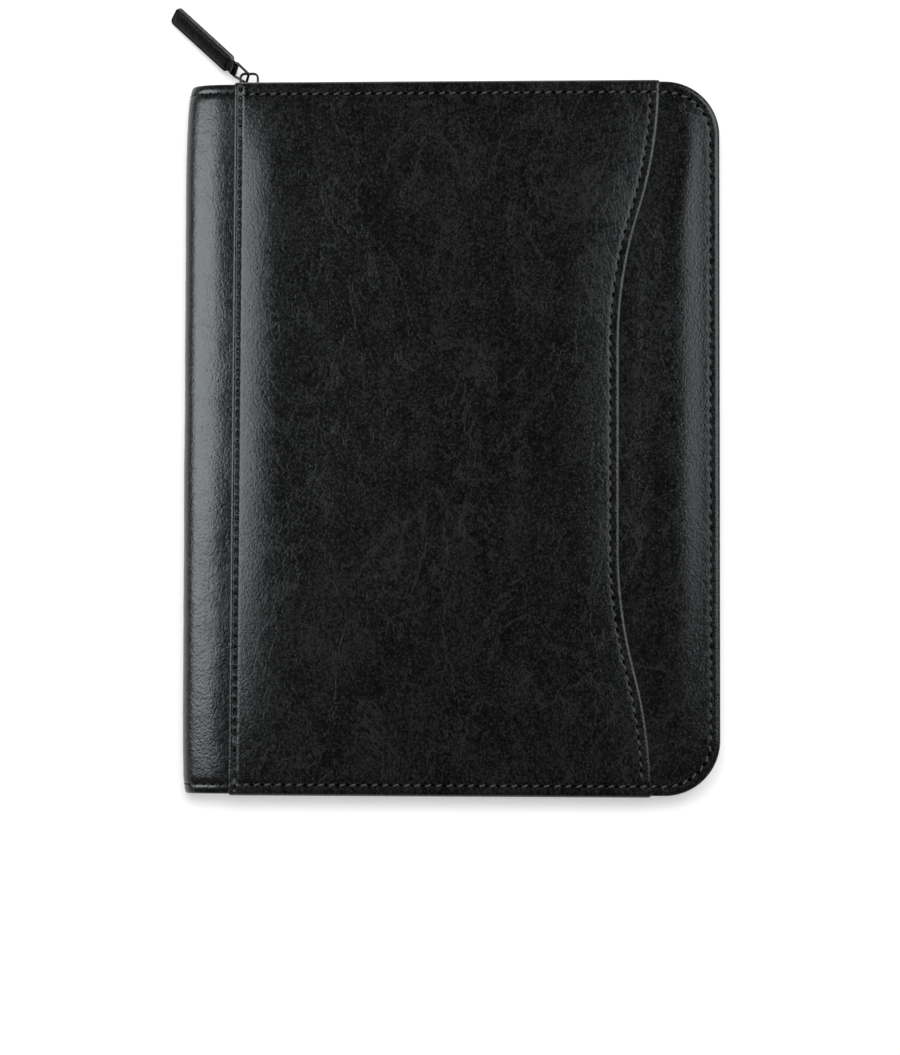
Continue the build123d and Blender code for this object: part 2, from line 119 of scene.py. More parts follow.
def add_soft_box(name, place, target, width, height, power, colour, on_floor):
    """A rectangular area light that faces its target and lights the floor alone, or all but the floor."""
    bpy.ops.object.light_add(type="AREA", location=place)
    light = bpy.context.object
    light.name = name
    light.data.shape = "RECTANGLE"
    light.data.size = width
    light.data.size_y = height
    light.data.energy = power
    light.data.color = colour
    aim = Vector(target) - Vector(place)
    light.rotation_euler = aim.to_track_quat("-Z", "Y").to_euler()
    linked = bpy.data.collections.new(name + "_link")
    linked.objects.link(floor)
    linked.collection_objects[0].light_linking.link_state = on_floor
    light.light_linking.receiver_collection = linked
    print(name, power, "W")


# Place, target, width, height, power, colour, and whether the floor is lit or left out
cool = (0.88, 0.95, 1.0)
add_soft_box("left_soft_box", (-1.15, 0.29, 1.35), (0, 0.29, 0), 0.86, 1.3, 14.2, cool, "EXCLUDE")
add_soft_box("right_soft_box", (1.07, 0.74, 1.40), (0.11, 0.74, 0), 1.6, 1.24, 16, cool, "EXCLUDE")
add_soft_box("floor_light", (0.1, 0.2, 1.6), (0, 0, 0), 0.75, 0.55, 19, (1, 1, 1), "INCLUDE")
bpy.context.scene.view_settings.view_transform = "Standard"

# %% [markdown]
# ## Shader helpers
#
# A material is a small machine of nodes. These helpers add a node, fill its sockets and wire it up in one
# line, so each finish below reads like a recipe.

# %% Shader helpers
def add_node(tree, kind, sockets=None, **settings):
    """A shader node with its settings, and each named or numbered socket set or linked."""
    made = tree.nodes.new("ShaderNode" + kind)
    for key, value in settings.items():
        setattr(made, key, value)
    for key, value in (sockets or {}).items():
        if isinstance(value, bpy.types.NodeSocket):
            tree.links.new(value, made.inputs[key])
        else:
            made.inputs[key].default_value = value
    return made


def calculate(tree, operation, first, second=0.0):
    """One step of arithmetic on two values."""
    return add_node(tree, "Math", {0: first, 1: second}, operation=operation).outputs[0]


def remap(tree, value, low, high, start=0.0, end=1.0):
    """A smooth step of a value, from start at low to end at high."""
    sockets = {"Value": value, "From Min": low, "From Max": high, "To Min": start, "To Max": end}
    return add_node(tree, "MapRange", sockets, interpolation_type="SMOOTHSTEP").outputs[0]


def tint(tree, amount, first, second):
    """A mix of two colours."""
    sockets = {"Factor": amount, 6: first, 7: second}
    return add_node(tree, "Mix", sockets, data_type="RGBA").outputs[2]


def grey(level):
    """A dark dye, a touch warm under the cool lights."""
    return (level * 1.05, level, level * 0.96, 1)


def new_group(name, inputs, outputs):
    """An empty node group with named sockets, and its two end nodes."""
    group = bpy.data.node_groups.new(name, "ShaderNodeTree")
    for way, sockets in (("INPUT", inputs), ("OUTPUT", outputs)):
        for socket_name, socket_kind in sockets:
            group.interface.new_socket(name=socket_name, in_out=way, socket_type="NodeSocket" + socket_kind)
    return group, group.nodes.new("NodeGroupInput").outputs, group.nodes.new("NodeGroupOutput").inputs


def new_material(name):
    """A material with its shader and the piece's own coordinates."""
    material = bpy.data.materials.new(name)
    material.use_nodes = True
    tree = material.node_tree
    place = tree.nodes.new("ShaderNodeTexCoord").outputs["Object"]
    return material, tree, tree.nodes["Principled BSDF"], place


def add_bump(tree, shader, height, strength, depth):
    """Wires a height to the shader's normal."""
    sockets = {"Height": height, "Strength": strength, "Distance": depth}
    tree.links.new(add_node(tree, "Bump", sockets).outputs[0], shader.inputs["Normal"])


# %% [markdown]
# ## Studio walls
#
# Overhead the studio is dark, and towards its pale walls it grows lighter. From above the covers mirror the
# dark, and from a low side they mirror the walls and show their sheen.

# %% Studio walls
zenith_light = 0.029
wall_light = 0.4
world = bpy.context.scene.world or bpy.data.worlds.new("studio")
bpy.context.scene.world = world
world.use_nodes = True
room = world.node_tree
outlook = room.nodes.new("ShaderNodeTexCoord").outputs["Generated"]
upwards = add_node(room, "SeparateXYZ", {0: outlook}).outputs[2]
background = room.nodes["Background"]
background.inputs["Color"].default_value = white
room.links.new(remap(room, upwards, 0.1, 0.6, wall_light, zenith_light), background.inputs["Strength"])
print("studio walls", wall_light, "overhead", zenith_light)

# %% [markdown]
# ## Leather grain
#
# The cover is a coated leather with a fine, waxy, mottled grain: short pale strokes and dark pits, a little
# stronger in some patches than in others, with soft wrinkles that run through it. Two stirred noises give
# the strokes, a cell pattern the pits, and the middle band of a slow noise the wrinkles. The noises are drawn
# out along the spine, because a hide stretches that way.

# %% Leather grain
grain_group, grain_in, grain_out = new_group(
    "waxy_grain",
    [("Vector", "Vector"), ("Grain Size", "Float")],
    [("Shade", "Float"), ("Height", "Float")],
)
density = calculate(grain_group, "DIVIDE", 1.0, grain_in["Grain Size"])
drawn_out = {"Vector": grain_in["Vector"], "Scale": (1.0, 0.6, 1.0)}
grain_place = add_node(grain_group, "Mapping", drawn_out).outputs[0]
patch_scale = 55.0
fold_scale = 26.0
wrinkle_width = 0.014


def grain_noise(scale, detail, roughness=0.5, distortion=0.0):
    """A noise over the leather, drawn out along the spine as the hide was."""
    sockets = {"Vector": grain_place, "Scale": scale, "Detail": detail}
    sockets.update({"Roughness": roughness, "Distortion": distortion})
    return add_node(grain_group, "TexNoise", sockets).outputs["Fac"]


def weigh(parts):
    """A sum of values, each with its weight."""
    total = 0.0
    for value, weight in parts:
        sockets = {0: value, 1: weight, 2: total}
        total = add_node(grain_group, "Math", sockets, operation="MULTIPLY_ADD").outputs[0]
    return total


strokes = grain_noise(density, 3.0, 0.6, 1.4)
fine_strokes = grain_noise(calculate(grain_group, "MULTIPLY", density, 2.3), 2.0, 0.6, 0.8)
patches = grain_noise(patch_scale, 4.0, 0.6)
cells = add_node(
    grain_group,
    "TexVoronoi",
    {"Vector": grain_in["Vector"], "Scale": density, "Randomness": 1.0},
    feature="DISTANCE_TO_EDGE",
).outputs["Distance"]
pits = remap(grain_group, cells, 0.0, 0.3, 1.0, 0.0)
folds = grain_noise(fold_scale, 5.0, 0.65, 0.7)
fold_distance = calculate(grain_group, "ABSOLUTE", calculate(grain_group, "SUBTRACT", folds, 0.5))
wrinkle = remap(grain_group, fold_distance, 0.0, wrinkle_width, 1.0, 0.0)
shade = weigh([(strokes, 0.8), (fine_strokes, 0.9), (patches, 0.5), (pits, -0.15), (wrinkle, 0.2)])
height = weigh([(strokes, 1.0), (fine_strokes, 0.5), (pits, -0.25), (wrinkle, 0.25)])
grain_group.links.new(remap(grain_group, shade, 0.76, 1.36), grain_out["Shade"])
grain_group.links.new(height, grain_out["Height"])
print("grain group", len(grain_group.nodes), "nodes")


# %% Leathers
def make_leather(name, dark, pale, roughness, gloss, grain_size, depth):
    """Coated leather: a mottled dye under a waxy sheen."""
    material, tree, shader, place = new_material(name)
    grain = add_node(tree, "Group", node_tree=grain_group)
    tree.links.new(place, grain.inputs["Vector"])
    grain.inputs["Grain Size"].default_value = grain_size
    tree.links.new(tint(tree, grain.outputs["Shade"], grey(dark), grey(pale)), shader.inputs["Base Color"])
    wear = remap(tree, grain.outputs["Shade"], 0.0, 1.0, roughness * 0.85, roughness * 1.15)
    tree.links.new(wear, shader.inputs["Roughness"])
    shader.inputs["Specular IOR Level"].default_value = gloss
    add_bump(tree, shader, grain.outputs["Height"], 0.5, depth)
    return material


# Dark dye, pale dye, roughness, gloss, size of the grain and its depth
cover_leather = make_leather("cover_leather", 0.0008, 0.028, 0.2, 0.6, 1.9 * mm, 0.15 * mm)
spine_leather = make_leather("spine_leather", 0.002, 0.018, 0.24, 0.81, 2.2 * mm, 0.18 * mm)
tab_leather = make_leather("tab_leather", 0.0005, 0.014, 0.2, 0.14, 1.3 * mm, 0.3 * mm)
# A paler copy of the tab leather for the tab's side faces: a painted highlight where its edges catch the
# lamps.
painted_edge_highlight = make_leather("painted_edge_highlight", 0.06, 0.2, 0.35, 0.5, 1.2 * mm, 0.1 * mm)
organizer_leather = make_leather("organizer_leather", 0.012, 0.03, 0.42, 0.5, 1.3 * mm, 0.07 * mm)
print("leathers for the covers, the spine, the tab, its edge and the organizer")

# %% [markdown]
# ## Thread
#
# The panels are sewn with a thick twisted thread, a little paler than the leather. A fine wave along the
# stitch stands for its twist. A much darker copy of the same thread is painted shade, for the stitches that
# sit down in the fold's groove and the spine's hems.

# %% Thread
def make_thread(name, dark, pale):
    """Twisted sewing thread."""
    material, tree, shader, place = new_material(name)
    twist = add_node(
        tree,
        "TexWave",
        {"Vector": place, "Scale": 700.0, "Distortion": 1.2},
        bands_direction="DIAGONAL",
    )
    tree.links.new(tint(tree, twist.outputs["Fac"], grey(dark), grey(pale)), shader.inputs["Base Color"])
    set_sockets(shader, {"Roughness": 0.55, "Sheen Weight": 0.2})
    add_bump(tree, shader, twist.outputs["Fac"], 0.6, 0.1 * mm)
    return material


cover_thread = make_thread("cover_thread", 0.045, 0.15)
# Painted shade: the same thread made much darker, for the stitches down in the fold groove and the spine
# hems.
groove_shaded_thread = make_thread("groove_shaded_thread", 0.004, 0.016)
# Pitch black and without sheen: painted shade for the needle holes beside the stitches.
painted_hole_shade = {"Base Color": (0.001, 0.001, 0.001, 1), "Roughness": 1.0, "Specular IOR Level": 0.0}
needle_hole_shade = plain_finish("needle_hole_shade", painted_hole_shade)
print("threads", cover_thread.name, groove_shaded_thread.name)

# %% [markdown]
# ## Woven cloth
#
# The zip tapes, the linings and the elastic are plain weaves. Two crossed waves lift one thread over the
# next, which holds up close, where a printed checker would look flat.

# %% Woven cloth
weave_group, weave_in, weave_out = new_group(
    "plain_weave",
    [("Along", "Float"), ("Across", "Float"), ("Thread", "Float")],
    [("Height", "Float")],
)
waves = []
for socket in ("Along", "Across"):
    turns_count = calculate(weave_group, "DIVIDE", weave_in[socket], weave_in["Thread"])
    waves.append(calculate(weave_group, "SINE", calculate(weave_group, "MULTIPLY", turns_count, pi)))
product = calculate(weave_group, "MULTIPLY", waves[0], waves[1])
weave_group.links.new(calculate(weave_group, "MULTIPLY_ADD", product, 0.5), weave_out["Height"])


def make_woven(name, dark, pale, thread, upright=False):
    """Plain-woven cloth, lying flat or standing as a wall."""
    material, tree, shader, place = new_material(name)
    axes = add_node(tree, "SeparateXYZ", {0: place}).outputs
    weave = add_node(tree, "Group", node_tree=weave_group)
    along = calculate(tree, "ADD", axes[0], axes[1]) if upright else axes[0]
    tree.links.new(along, weave.inputs["Along"])
    tree.links.new(axes[2] if upright else axes[1], weave.inputs["Across"])
    weave.inputs["Thread"].default_value = thread
    over = remap(tree, weave.outputs["Height"], -0.4, 0.4)
    tree.links.new(tint(tree, over, grey(dark), grey(pale)), shader.inputs["Base Color"])
    set_sockets(shader, {"Roughness": 0.8, "Sheen Weight": 0.25})
    add_bump(tree, shader, over, 0.7, thread * 0.3)
    return material


zip_cloth = make_woven("zip_cloth", 0.008, 0.03, 0.45 * mm, True)
lining_cloth = make_woven("lining_cloth", 0.012, 0.03, 0.5 * mm)
elastic_band = make_woven("elastic_band", 0.008, 0.024, 0.9 * mm)
print("cloths", zip_cloth.name, lining_cloth.name, elastic_band.name)

# %% [markdown]
# ## Metal and plastic
#
# The slider and its link are a dark plated casting and wire, and the teeth are moulded plastic. Neither has
# the same polish all over, so a fine cloud changes the roughness a little.

# %% Metal and plastic
def make_worn(name, colour, metallic, roughness, mottle):
    """A hard finish with a slow change of polish."""
    material, tree, shader, place = new_material(name)
    cloud = add_node(tree, "TexNoise", {"Vector": place, "Scale": 600.0, "Detail": 3.0})
    polish = remap(tree, cloud.outputs["Fac"], 0.3, 0.7, roughness - mottle, roughness + mottle)
    tree.links.new(polish, shader.inputs["Roughness"])
    shade = tint(tree, cloud.outputs["Fac"], colour, tuple(part * 0.8 for part in colour[:3]) + (1,))
    tree.links.new(shade, shader.inputs["Base Color"])
    shader.inputs["Metallic"].default_value = metallic
    add_bump(tree, shader, cloud.outputs["Fac"], 0.15, 0.02 * mm)
    return material


gunmetal = make_worn("gunmetal", (0.075, 0.075, 0.078, 1), 1.0, 0.3, 0.06)
tooth_plastic = make_worn("tooth_plastic", (0.025, 0.025, 0.027, 1), 0.0, 0.38, 0.08)
print("hard finishes", gunmetal.name, tooth_plastic.name)

# %% [markdown]
# ## Paper and board
#
# The stiffeners are grey board, the pad has a card back and a paper binding, and its sheets are ruled in pale
# lines. The rules are drawn from the place along the sheet, so they stay even on every page.

# %% Paper and board
def make_fibrous(name, colour, scale, depth):
    """Board or binding paper with a fine felt of fibres."""
    material, tree, shader, place = new_material(name)
    felt = add_node(tree, "TexNoise", {"Vector": place, "Scale": scale, "Detail": 5.0, "Roughness": 0.7})
    shade = tint(tree, felt.outputs["Fac"], tuple(part * 0.75 for part in colour) + (1,), colour + (1,))
    tree.links.new(shade, shader.inputs["Base Color"])
    shader.inputs["Roughness"].default_value = 0.85
    add_bump(tree, shader, felt.outputs["Fac"], 0.4, depth)
    return material


grey_board = make_fibrous("grey_board", (0.30, 0.26, 0.21), 900.0, 0.08 * mm)
pad_board = make_fibrous("pad_board", (0.44, 0.37, 0.28), 900.0, 0.08 * mm)
binding_paper = make_fibrous("binding_paper", (0.05, 0.05, 0.055), 1400.0, 0.05 * mm)


def make_ruled_paper(name, line_gap, line_width):
    """Writing paper with pale ruled lines across its face."""
    material, tree, shader, place = new_material(name)
    felt = add_node(tree, "TexNoise", {"Vector": place, "Scale": 1200.0, "Detail": 4.0})
    axes = add_node(tree, "SeparateXYZ", {0: place}).outputs
    step = calculate(tree, "FRACT", calculate(tree, "DIVIDE", axes[1], line_gap))
    line = calculate(tree, "LESS_THAN", step, line_width / line_gap)
    sheet_colour = tint(tree, felt.outputs["Fac"], (0.78, 0.77, 0.72, 1), (0.86, 0.85, 0.80, 1))
    tree.links.new(tint(tree, line, sheet_colour, (0.45, 0.55, 0.68, 1)), shader.inputs["Base Color"])
    shader.inputs["Roughness"].default_value = 0.9
    add_bump(tree, shader, felt.outputs["Fac"], 0.2, 0.03 * mm)
    return material


ruled_paper = make_ruled_paper("ruled_paper", 7.1 * mm, 0.35 * mm)
clear_sheet, clear_tree, clear_shader, clear_place = new_material("clear_sheet")
set_sockets(clear_shader, {"Base Color": (0.95, 0.95, 0.95, 1), "Transmission Weight": 1.0, "IOR": 1.3})
haze = add_node(clear_tree, "TexNoise", {"Vector": clear_place, "Scale": 60.0, "Detail": 2.0})
haze_polish = remap(clear_tree, haze.outputs["Fac"], 0.3, 0.7, 0.08, 0.2)
clear_tree.links.new(haze_polish, clear_shader.inputs["Roughness"])
print("papers", grey_board.name, pad_board.name, binding_paper.name, ruled_paper.name)

# %% [markdown]
# ## Panel helpers
#
# A turned-edge leather panel is one sheet: flat on its face, rolled round its edge and folded back under
# itself. It starts as a flat grid. Each line of the grid gets an inset from the panel's edge and a drop
# below its face, so the outer lines wrap round the roll and the inner ones carry the crown and the
# stitch groove.

# %% Selection helpers
def clear_selection():
    """Leaves edit mode and deselects everything."""
    if bpy.context.mode != "OBJECT":
        bpy.ops.object.mode_set(mode="OBJECT")
    bpy.ops.object.select_all(action="DESELECT")


def activate(piece):
    """Selects one piece alone and makes it active."""
    clear_selection()
    piece.select_set(True)
    bpy.context.view_layer.objects.active = piece


def edit_all(piece):
    """Opens a piece in edit mode with all of it selected."""
    activate(piece)
    bpy.ops.object.mode_set(mode="EDIT")
    bpy.ops.mesh.select_all(action="SELECT")


def apply_modifiers(piece):
    """Applies every modifier of a piece, in order."""
    activate(piece)
    for modifier in list(piece.modifiers):
        bpy.ops.object.modifier_apply(modifier=modifier.name)


# %% Sheet helpers
def read_points(piece):
    """The piece's vertices as an array."""
    points = np.empty(len(piece.data.vertices) * 3)
    piece.data.vertices.foreach_get("co", points)
    return points.reshape(-1, 3)


def write_points(piece, points):
    """Moves the piece's vertices."""
    piece.data.vertices.foreach_set("co", np.asarray(points, float).ravel())
    piece.data.update()


def add_sheet(name, x, y, z, thickness, material, smooth_angle=60):
    """A grid shaped to arrays of places, given a thickness on its inner side and smoothed."""
    rows, columns = x.shape
    clear_selection()
    bpy.ops.mesh.primitive_grid_add(x_subdivisions=columns - 1, y_subdivisions=rows - 1, size=2)
    sheet = bpy.context.object
    sheet.name = sheet.data.name = name
    flat = read_points(sheet)
    column = np.rint((flat[:, 0] + 1) / 2 * (columns - 1)).astype(int)
    row = np.rint((flat[:, 1] + 1) / 2 * (rows - 1)).astype(int)
    write_points(sheet, np.stack([x[row, column], y[row, column], z[row, column]], axis=1))
    if thickness:
        wall = sheet.modifiers.new("wall", "SOLIDIFY")
        wall.thickness = thickness
        wall.offset = -1
        apply_modifiers(sheet)
    activate(sheet)
    bpy.ops.object.shade_smooth_by_angle(angle=radians(smooth_angle))
    sheet.data.materials.append(material)
    return sheet


def add_block(middle, size):
    """A square-edged block."""
    clear_selection()
    bpy.ops.mesh.primitive_cube_add(size=1, location=middle)
    block = bpy.context.object
    block.scale = size
    bpy.ops.object.transform_apply(location=True, rotation=True, scale=True)
    return block


def join_pieces(name, pieces):
    """Joins pieces into one mesh."""
    activate(pieces[0])
    for piece in pieces:
        piece.select_set(True)
    bpy.ops.object.join()
    joined = bpy.context.object
    joined.name = joined.data.name = name
    return joined


# %% Edge helpers
def rolled_edge(roll, turned_in, steps=7, breadth=None):
    """Insets and drops of the lines from a turned-in hem round a rounded edge to the face."""
    breadth = breadth or roll
    insets = [turned_in, turned_in * 0.5]
    drops = [2 * roll, 2 * roll]
    for step in range(steps + 1):
        angle = pi * (1 - step / steps)
        insets.append(breadth - breadth * sin(angle))
        drops.append(roll - roll * cos(angle))
    return insets, drops


def spaced(start, end, spacing):
    """Even places from start to end, without the end itself."""
    count = max(1, ceil(abs(end - start) / spacing))
    return list(np.linspace(start, end, count, endpoint=False))


def surface_noise(x, y, scale, seed):
    """Slow, even noise over a panel, from -1 to 1."""
    flat = [noise.noise((a * scale, b * scale, seed)) for a, b in zip(x.ravel(), y.ravel())]
    return np.array(flat).reshape(x.shape)


# %% [markdown]
# ## Stitches
#
# One stitch is a short six-sided thread with its ends pulled down into the leather, beside a flat pitch-black
# blob that is painted shade for its needle hole. An Array modifier repeats it at the sewing pitch, and the
# row's points are then laid along the seam.

# %% Stitches
stitch_pitch = 5.0 * mm
stitch_length = 3.1 * mm
thread_radius = 0.42 * mm
end_taper = 0.45
thread_lift = 0.35
buried_end = 1.5
hole_shape = np.array([2.2, 1.5, 0.3])
upward = (0, 0, 1)


def run_lengths(path):
    """Distance along a path at each of its points."""
    return np.concatenate([[0], np.cumsum(np.linalg.norm(np.diff(path, axis=0), axis=1))])


def repeat_along(piece, path, count, step, up=upward):
    """Repeats a piece at even steps and bends the row along a path with its upward directions."""
    copies = piece.modifiers.new("repeat", "ARRAY")
    copies.count = count
    copies.use_relative_offset = False
    copies.use_constant_offset = True
    copies.constant_offset_displace = (step, 0, 0)
    apply_modifiers(piece)
    points = read_points(piece)
    run = run_lengths(path)
    tangent = np.gradient(path, run, axis=0)
    up = np.broadcast_to(np.asarray(up, float), path.shape)
    side = np.cross(up, tangent)

    def along(values):
        return np.stack([np.interp(points[:, 0], run, values[:, axis]) for axis in range(3)], axis=1)

    write_points(piece, along(path) + along(side) * points[:, 1:2] + along(up) * points[:, 2:3])


def add_stitch_row(name, path, up=upward, thread=cover_thread, pitch=stitch_pitch, slant=16):
    """A row of sewn stitches along a path of points, each with a pitch-black blob of painted shade for its
    needle hole.
    """
    length = stitch_length * pitch / stitch_pitch
    radius = thread_radius * (pitch / stitch_pitch) ** 0.5
    run = run_lengths(path)[-1]
    count = int(run / pitch)
    clear_selection()
    bpy.ops.mesh.primitive_cylinder_add(vertices=6, radius=radius, depth=length, rotation=(0, pi / 2, 0))
    row = bpy.context.object
    row.name = row.data.name = name
    bpy.ops.object.transform_apply(location=False, rotation=True, scale=False)
    edit_all(row)
    bpy.ops.mesh.subdivide(number_cuts=3)
    bpy.ops.object.mode_set(mode="OBJECT")
    points = read_points(row)
    along = points[:, 0] / (length / 2)
    points[:, 1:] *= (1 - end_taper * along**4)[:, None]
    points[:, 2] += radius * thread_lift - radius * buried_end * along**4
    points[:, 1] += points[:, 0] * np.tan(radians(slant))
    points[:, 0] += pitch / 2
    write_points(row, points)
    row.data.materials.append(thread)
    # A flat pitch-black blob at each stitch is painted shade for its needle hole.
    clear_selection()
    bpy.ops.mesh.primitive_uv_sphere_add(segments=8, ring_count=4, radius=1)
    hole = bpy.context.object
    write_points(hole, read_points(hole) * radius * hole_shape)
    hole.data.materials.append(needle_hole_shade)
    row = join_pieces(name, [row, hole])
    repeat_along(row, path, count, run / count, up)
    bpy.ops.object.shade_smooth()
    print(name, count, "stitches")
    return row


# %% [markdown]
# ## Cover sizes
#
# The outline comes from the frame. What the frame doesn't say is how the leather is worked: the breadth of
# the rolled rim, the depth of the sewn groove and the bends of the pocket's edge. The lines of a panel's grid
# lie close together near its edge, where the shape changes fast.

# %% Cover sizes
cover_low, cover_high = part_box("front_leather")
seam_x = cover_low.x
right_x = cover_high.x
half_height = cover_high.y
corner_radius = 26 * mm
leather = 1.2 * mm
edge_roll = (cover_high.z - cover_low.z) / 2
hem = 9 * mm
stitch_inset = 4.4 * mm
rim_breadth = 2.6 * mm
groove_depth = 0.2 * mm
groove_width = 1.1 * mm
cover_pull = 0.28
foot_start = 20 * mm
foot_loss = 0.6
middle_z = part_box("back_leather")[0].z / 2 + cover_high.z / 2
edge_straight_x = right_x - 46.8 * mm
edge_top_x = right_x - 28 * mm
edge_bottom_x = right_x - 32 * mm
top_bend = 124.5 * mm
bottom_bend = 115 * mm
face_insets = [1.9, 2.1, 2.35, 2.6, 2.9, 3.2, 3.5, 3.8, 4.1, 4.4, 4.8, 5.2]
face_insets += [5.8, 6.6, 7.6, 8.8, 10.5, 12.5, 15, 18, 21, 25]
face_reach = 25 * mm
print("covers", round((right_x - seam_x) / mm, 1), "by", round(2 * half_height / mm, 1), "mm")


# %% Grid lines
def with_face(edge, reach=face_reach):
    """A rolled edge's lines, carried on over the face with the lines close together near the edge."""
    insets, drops = edge
    face = [value * mm for value in face_insets if insets[-1] < value * mm <= reach]
    return insets + face, drops + [0.0] * len(face)


def plate_lines(start, end, spacing, first, last):
    """Places and drops of the grid lines from one edge of a plate to the other."""
    inner = spaced(start + first[0][-1] + spacing, end - last[0][-1], spacing)
    places = [start + inset for inset in first[0]] + inner + [end - inset for inset in last[0][::-1]]
    drops = first[1] + [0.0] * len(inner) + last[1][::-1]
    return np.array(places), np.array(drops)


def plate_places(low, high, radii, edge, spacing, bare_left=False):
    """Places of a plate's grid with rolled edges, and each point's drop and inset.

    The radii are of the corners at left bottom, right bottom, left top and right top. In a round corner the
    lines become rings of arcs, so that the roll follows the outline.
    """
    insets, drops = edge
    left = ([0.0], [0.0]) if bare_left else edge
    x_line, x_drop = plate_lines(low[0], high[0], spacing[0], left, edge)
    y_line, y_drop = plate_lines(low[1], high[1], spacing[1], edge, edge)
    x, y = np.meshgrid(x_line, y_line)
    drop = np.maximum(x_drop[None, :], y_drop[:, None])
    column, row = np.meshgrid(np.arange(len(x_line)), np.arange(len(y_line)))
    inset = np.minimum(high[0] - x, np.minimum(y - low[1], high[1] - y))
    if not bare_left:
        inset = np.minimum(inset, x - low[0])
    for corner, radius in enumerate(radii):
        if not radius:
            continue
        at_right, at_top = corner % 2, corner // 2
        across = len(x_line) - 1 - column if at_right else column
        down = len(y_line) - 1 - row if at_top else row
        turn = sum(1 for value in insets[2:] if value < radius) + 2
        zone = (across < turn) & (down < turn)
        ring = np.where(zone, np.minimum(across, down), 0)
        on_side = across <= down
        angle = np.where(on_side, turn - down, turn - across) / np.maximum(turn - ring, 1) * pi / 4
        angle = np.where(on_side, angle, pi / 2 - angle)
        ring_inset = np.array(insets)[ring]
        out_x, out_y = (1 if at_right else -1), (1 if at_top else -1)
        centre_x = (high[0] if at_right else low[0]) - out_x * radius
        centre_y = (high[1] if at_top else low[1]) - out_y * radius
        x = np.where(zone, centre_x + out_x * (radius - ring_inset) * np.cos(angle), x)
        y = np.where(zone, centre_y + out_y * (radius - ring_inset) * np.sin(angle), y)
        drop = np.where(zone, np.array(drops)[ring], drop)
        inset = np.where(zone, ring_inset, inset)
    return x, y, drop, inset


# %% Reliefs
def ogee(distance, length, shift):
    """Sideways shift of an ogee of two equal arcs, at a distance along it."""
    radius = (shift**2 + length**2) / (4 * shift)
    first = radius - np.sqrt(np.maximum(radius**2 - distance**2, 0))
    second = shift - radius + np.sqrt(np.maximum(radius**2 - (length - distance) ** 2, 0))
    return np.where(distance < length / 2, first, second)


def pocket_edge_x(y):
    """The pocket's curved opening edge."""
    up = np.clip(y - (half_height - top_bend), 0, top_bend)
    low = np.clip(-y - (half_height - bottom_bend), 0, bottom_bend)
    top_shift = ogee(up, top_bend, edge_top_x - edge_straight_x)
    low_shift = ogee(low, bottom_bend, edge_bottom_x - edge_straight_x)
    return edge_straight_x + top_shift + low_shift


def swelling(distance, reach):
    """A soft rise from a seam: steep at the seam, level at its reach."""
    return 1 - (1 - np.clip(distance / reach, 0, 1)) ** 2


def smooth_step(share):
    """A share from 0 to 1 with soft ends."""
    return share**2 * (3 - 2 * share)


def hollow(distance, depth, width):
    """Depth of a soft groove at a distance from its middle line."""
    return depth * np.exp(-((distance / width) ** 2))


def fading(distance, length):
    """A share that is full at an edge and dies away from it."""
    return np.exp(-np.clip(distance, 0, None) / length)


def stitch_pull(along, share):
    """Share of a groove's depth along its stitches, deepest at each stitch."""
    return 1 - share + share * np.cos(2 * pi * along / stitch_pitch)


def dents(x, y, waves):
    """Dents of soft leather: noises, each with its height, scale, seed and how much narrower it runs."""
    return sum(height * surface_noise(x * narrow, y, scale, seed) for height, scale, seed, narrow in waves)


def sewn_groove(inset, along):
    """Depth of the groove round a cover, pulled down at each stitch."""
    return stitch_pull(along, cover_pull) * hollow(inset - stitch_inset, groove_depth, groove_width)


def foot_ease(y):
    """Share of the padding that is left towards the foot of the cover."""
    return 1 - foot_loss * np.clip((-y - foot_start) / (half_height - foot_start), 0, 1)


def front_swell(x, y, inset):
    """Soft crown of the front cover beside the pocket panel."""
    from_pocket = x - pocket_edge_x(np.clip(y, -half_height, half_height))
    share = np.clip((inset - stitch_inset) / front_reach, 0, 1)
    beside = np.clip(from_pocket / pocket_reach, 0, 1)
    return front_crown * foot_ease(y) * smooth_step(share) * smooth_step(beside)


def cover_places(spacing, swell, seed):
    """Places of a cover panel, from its bare seam to its three turned edges, face at zero height."""
    edge = with_face(rolled_edge(edge_roll, hem, 10, rim_breadth))
    low, high = (seam_x, -half_height), (right_x, half_height)
    x, y, drop, inset = plate_places(low, high, (0, corner_radius, 0, corner_radius), edge, spacing, True)
    along = np.where(right_x - x < half_height - np.abs(y), y, x)
    relief = swell(x, y, inset) - sewn_groove(inset, along)
    relief += cover_dents * surface_noise(x, y, 26, seed) * np.clip((inset - 6 * mm) / (10 * mm), 0, 1)
    return x, y, np.where(drop > 0, -drop, relief)


# %% [markdown]
# ## Front cover leather
#
# The front cover is wrapped in one panel of leather with its edge turned in. The concentric lines of the
# grid follow the outline: on a straight side they run along it, and in the zip corners they turn with it,
# so the roll and the stitch groove go round without a kink.

# %% Front cover leather
cover_dents = 0.08 * mm
front_crown = 1.4 * mm
front_reach = 16 * mm
pocket_reach = 20 * mm
x, y, z = cover_places((4 * mm, 1.4 * mm), front_swell, 3.0)
front_cover = add_sheet("front_cover_leather", x, y, cover_high.z + z, 1.0 * mm, cover_leather)
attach(front_cover, "front_cover")
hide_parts("front_leather")
print("front cover leather", x.shape)

# %% [markdown]
# ## Back cover leather
#
# The back cover is the same panel turned over, so the grid is mirrored through the middle of the zip and its
# columns run the other way, which keeps its faces outwards. Its inner edge, at the spine, is left bare, as
# the front's is.

# %% Back cover leather
def flat_swell(x, y, inset):
    """A cover or lining without a crown."""
    return 0 * x


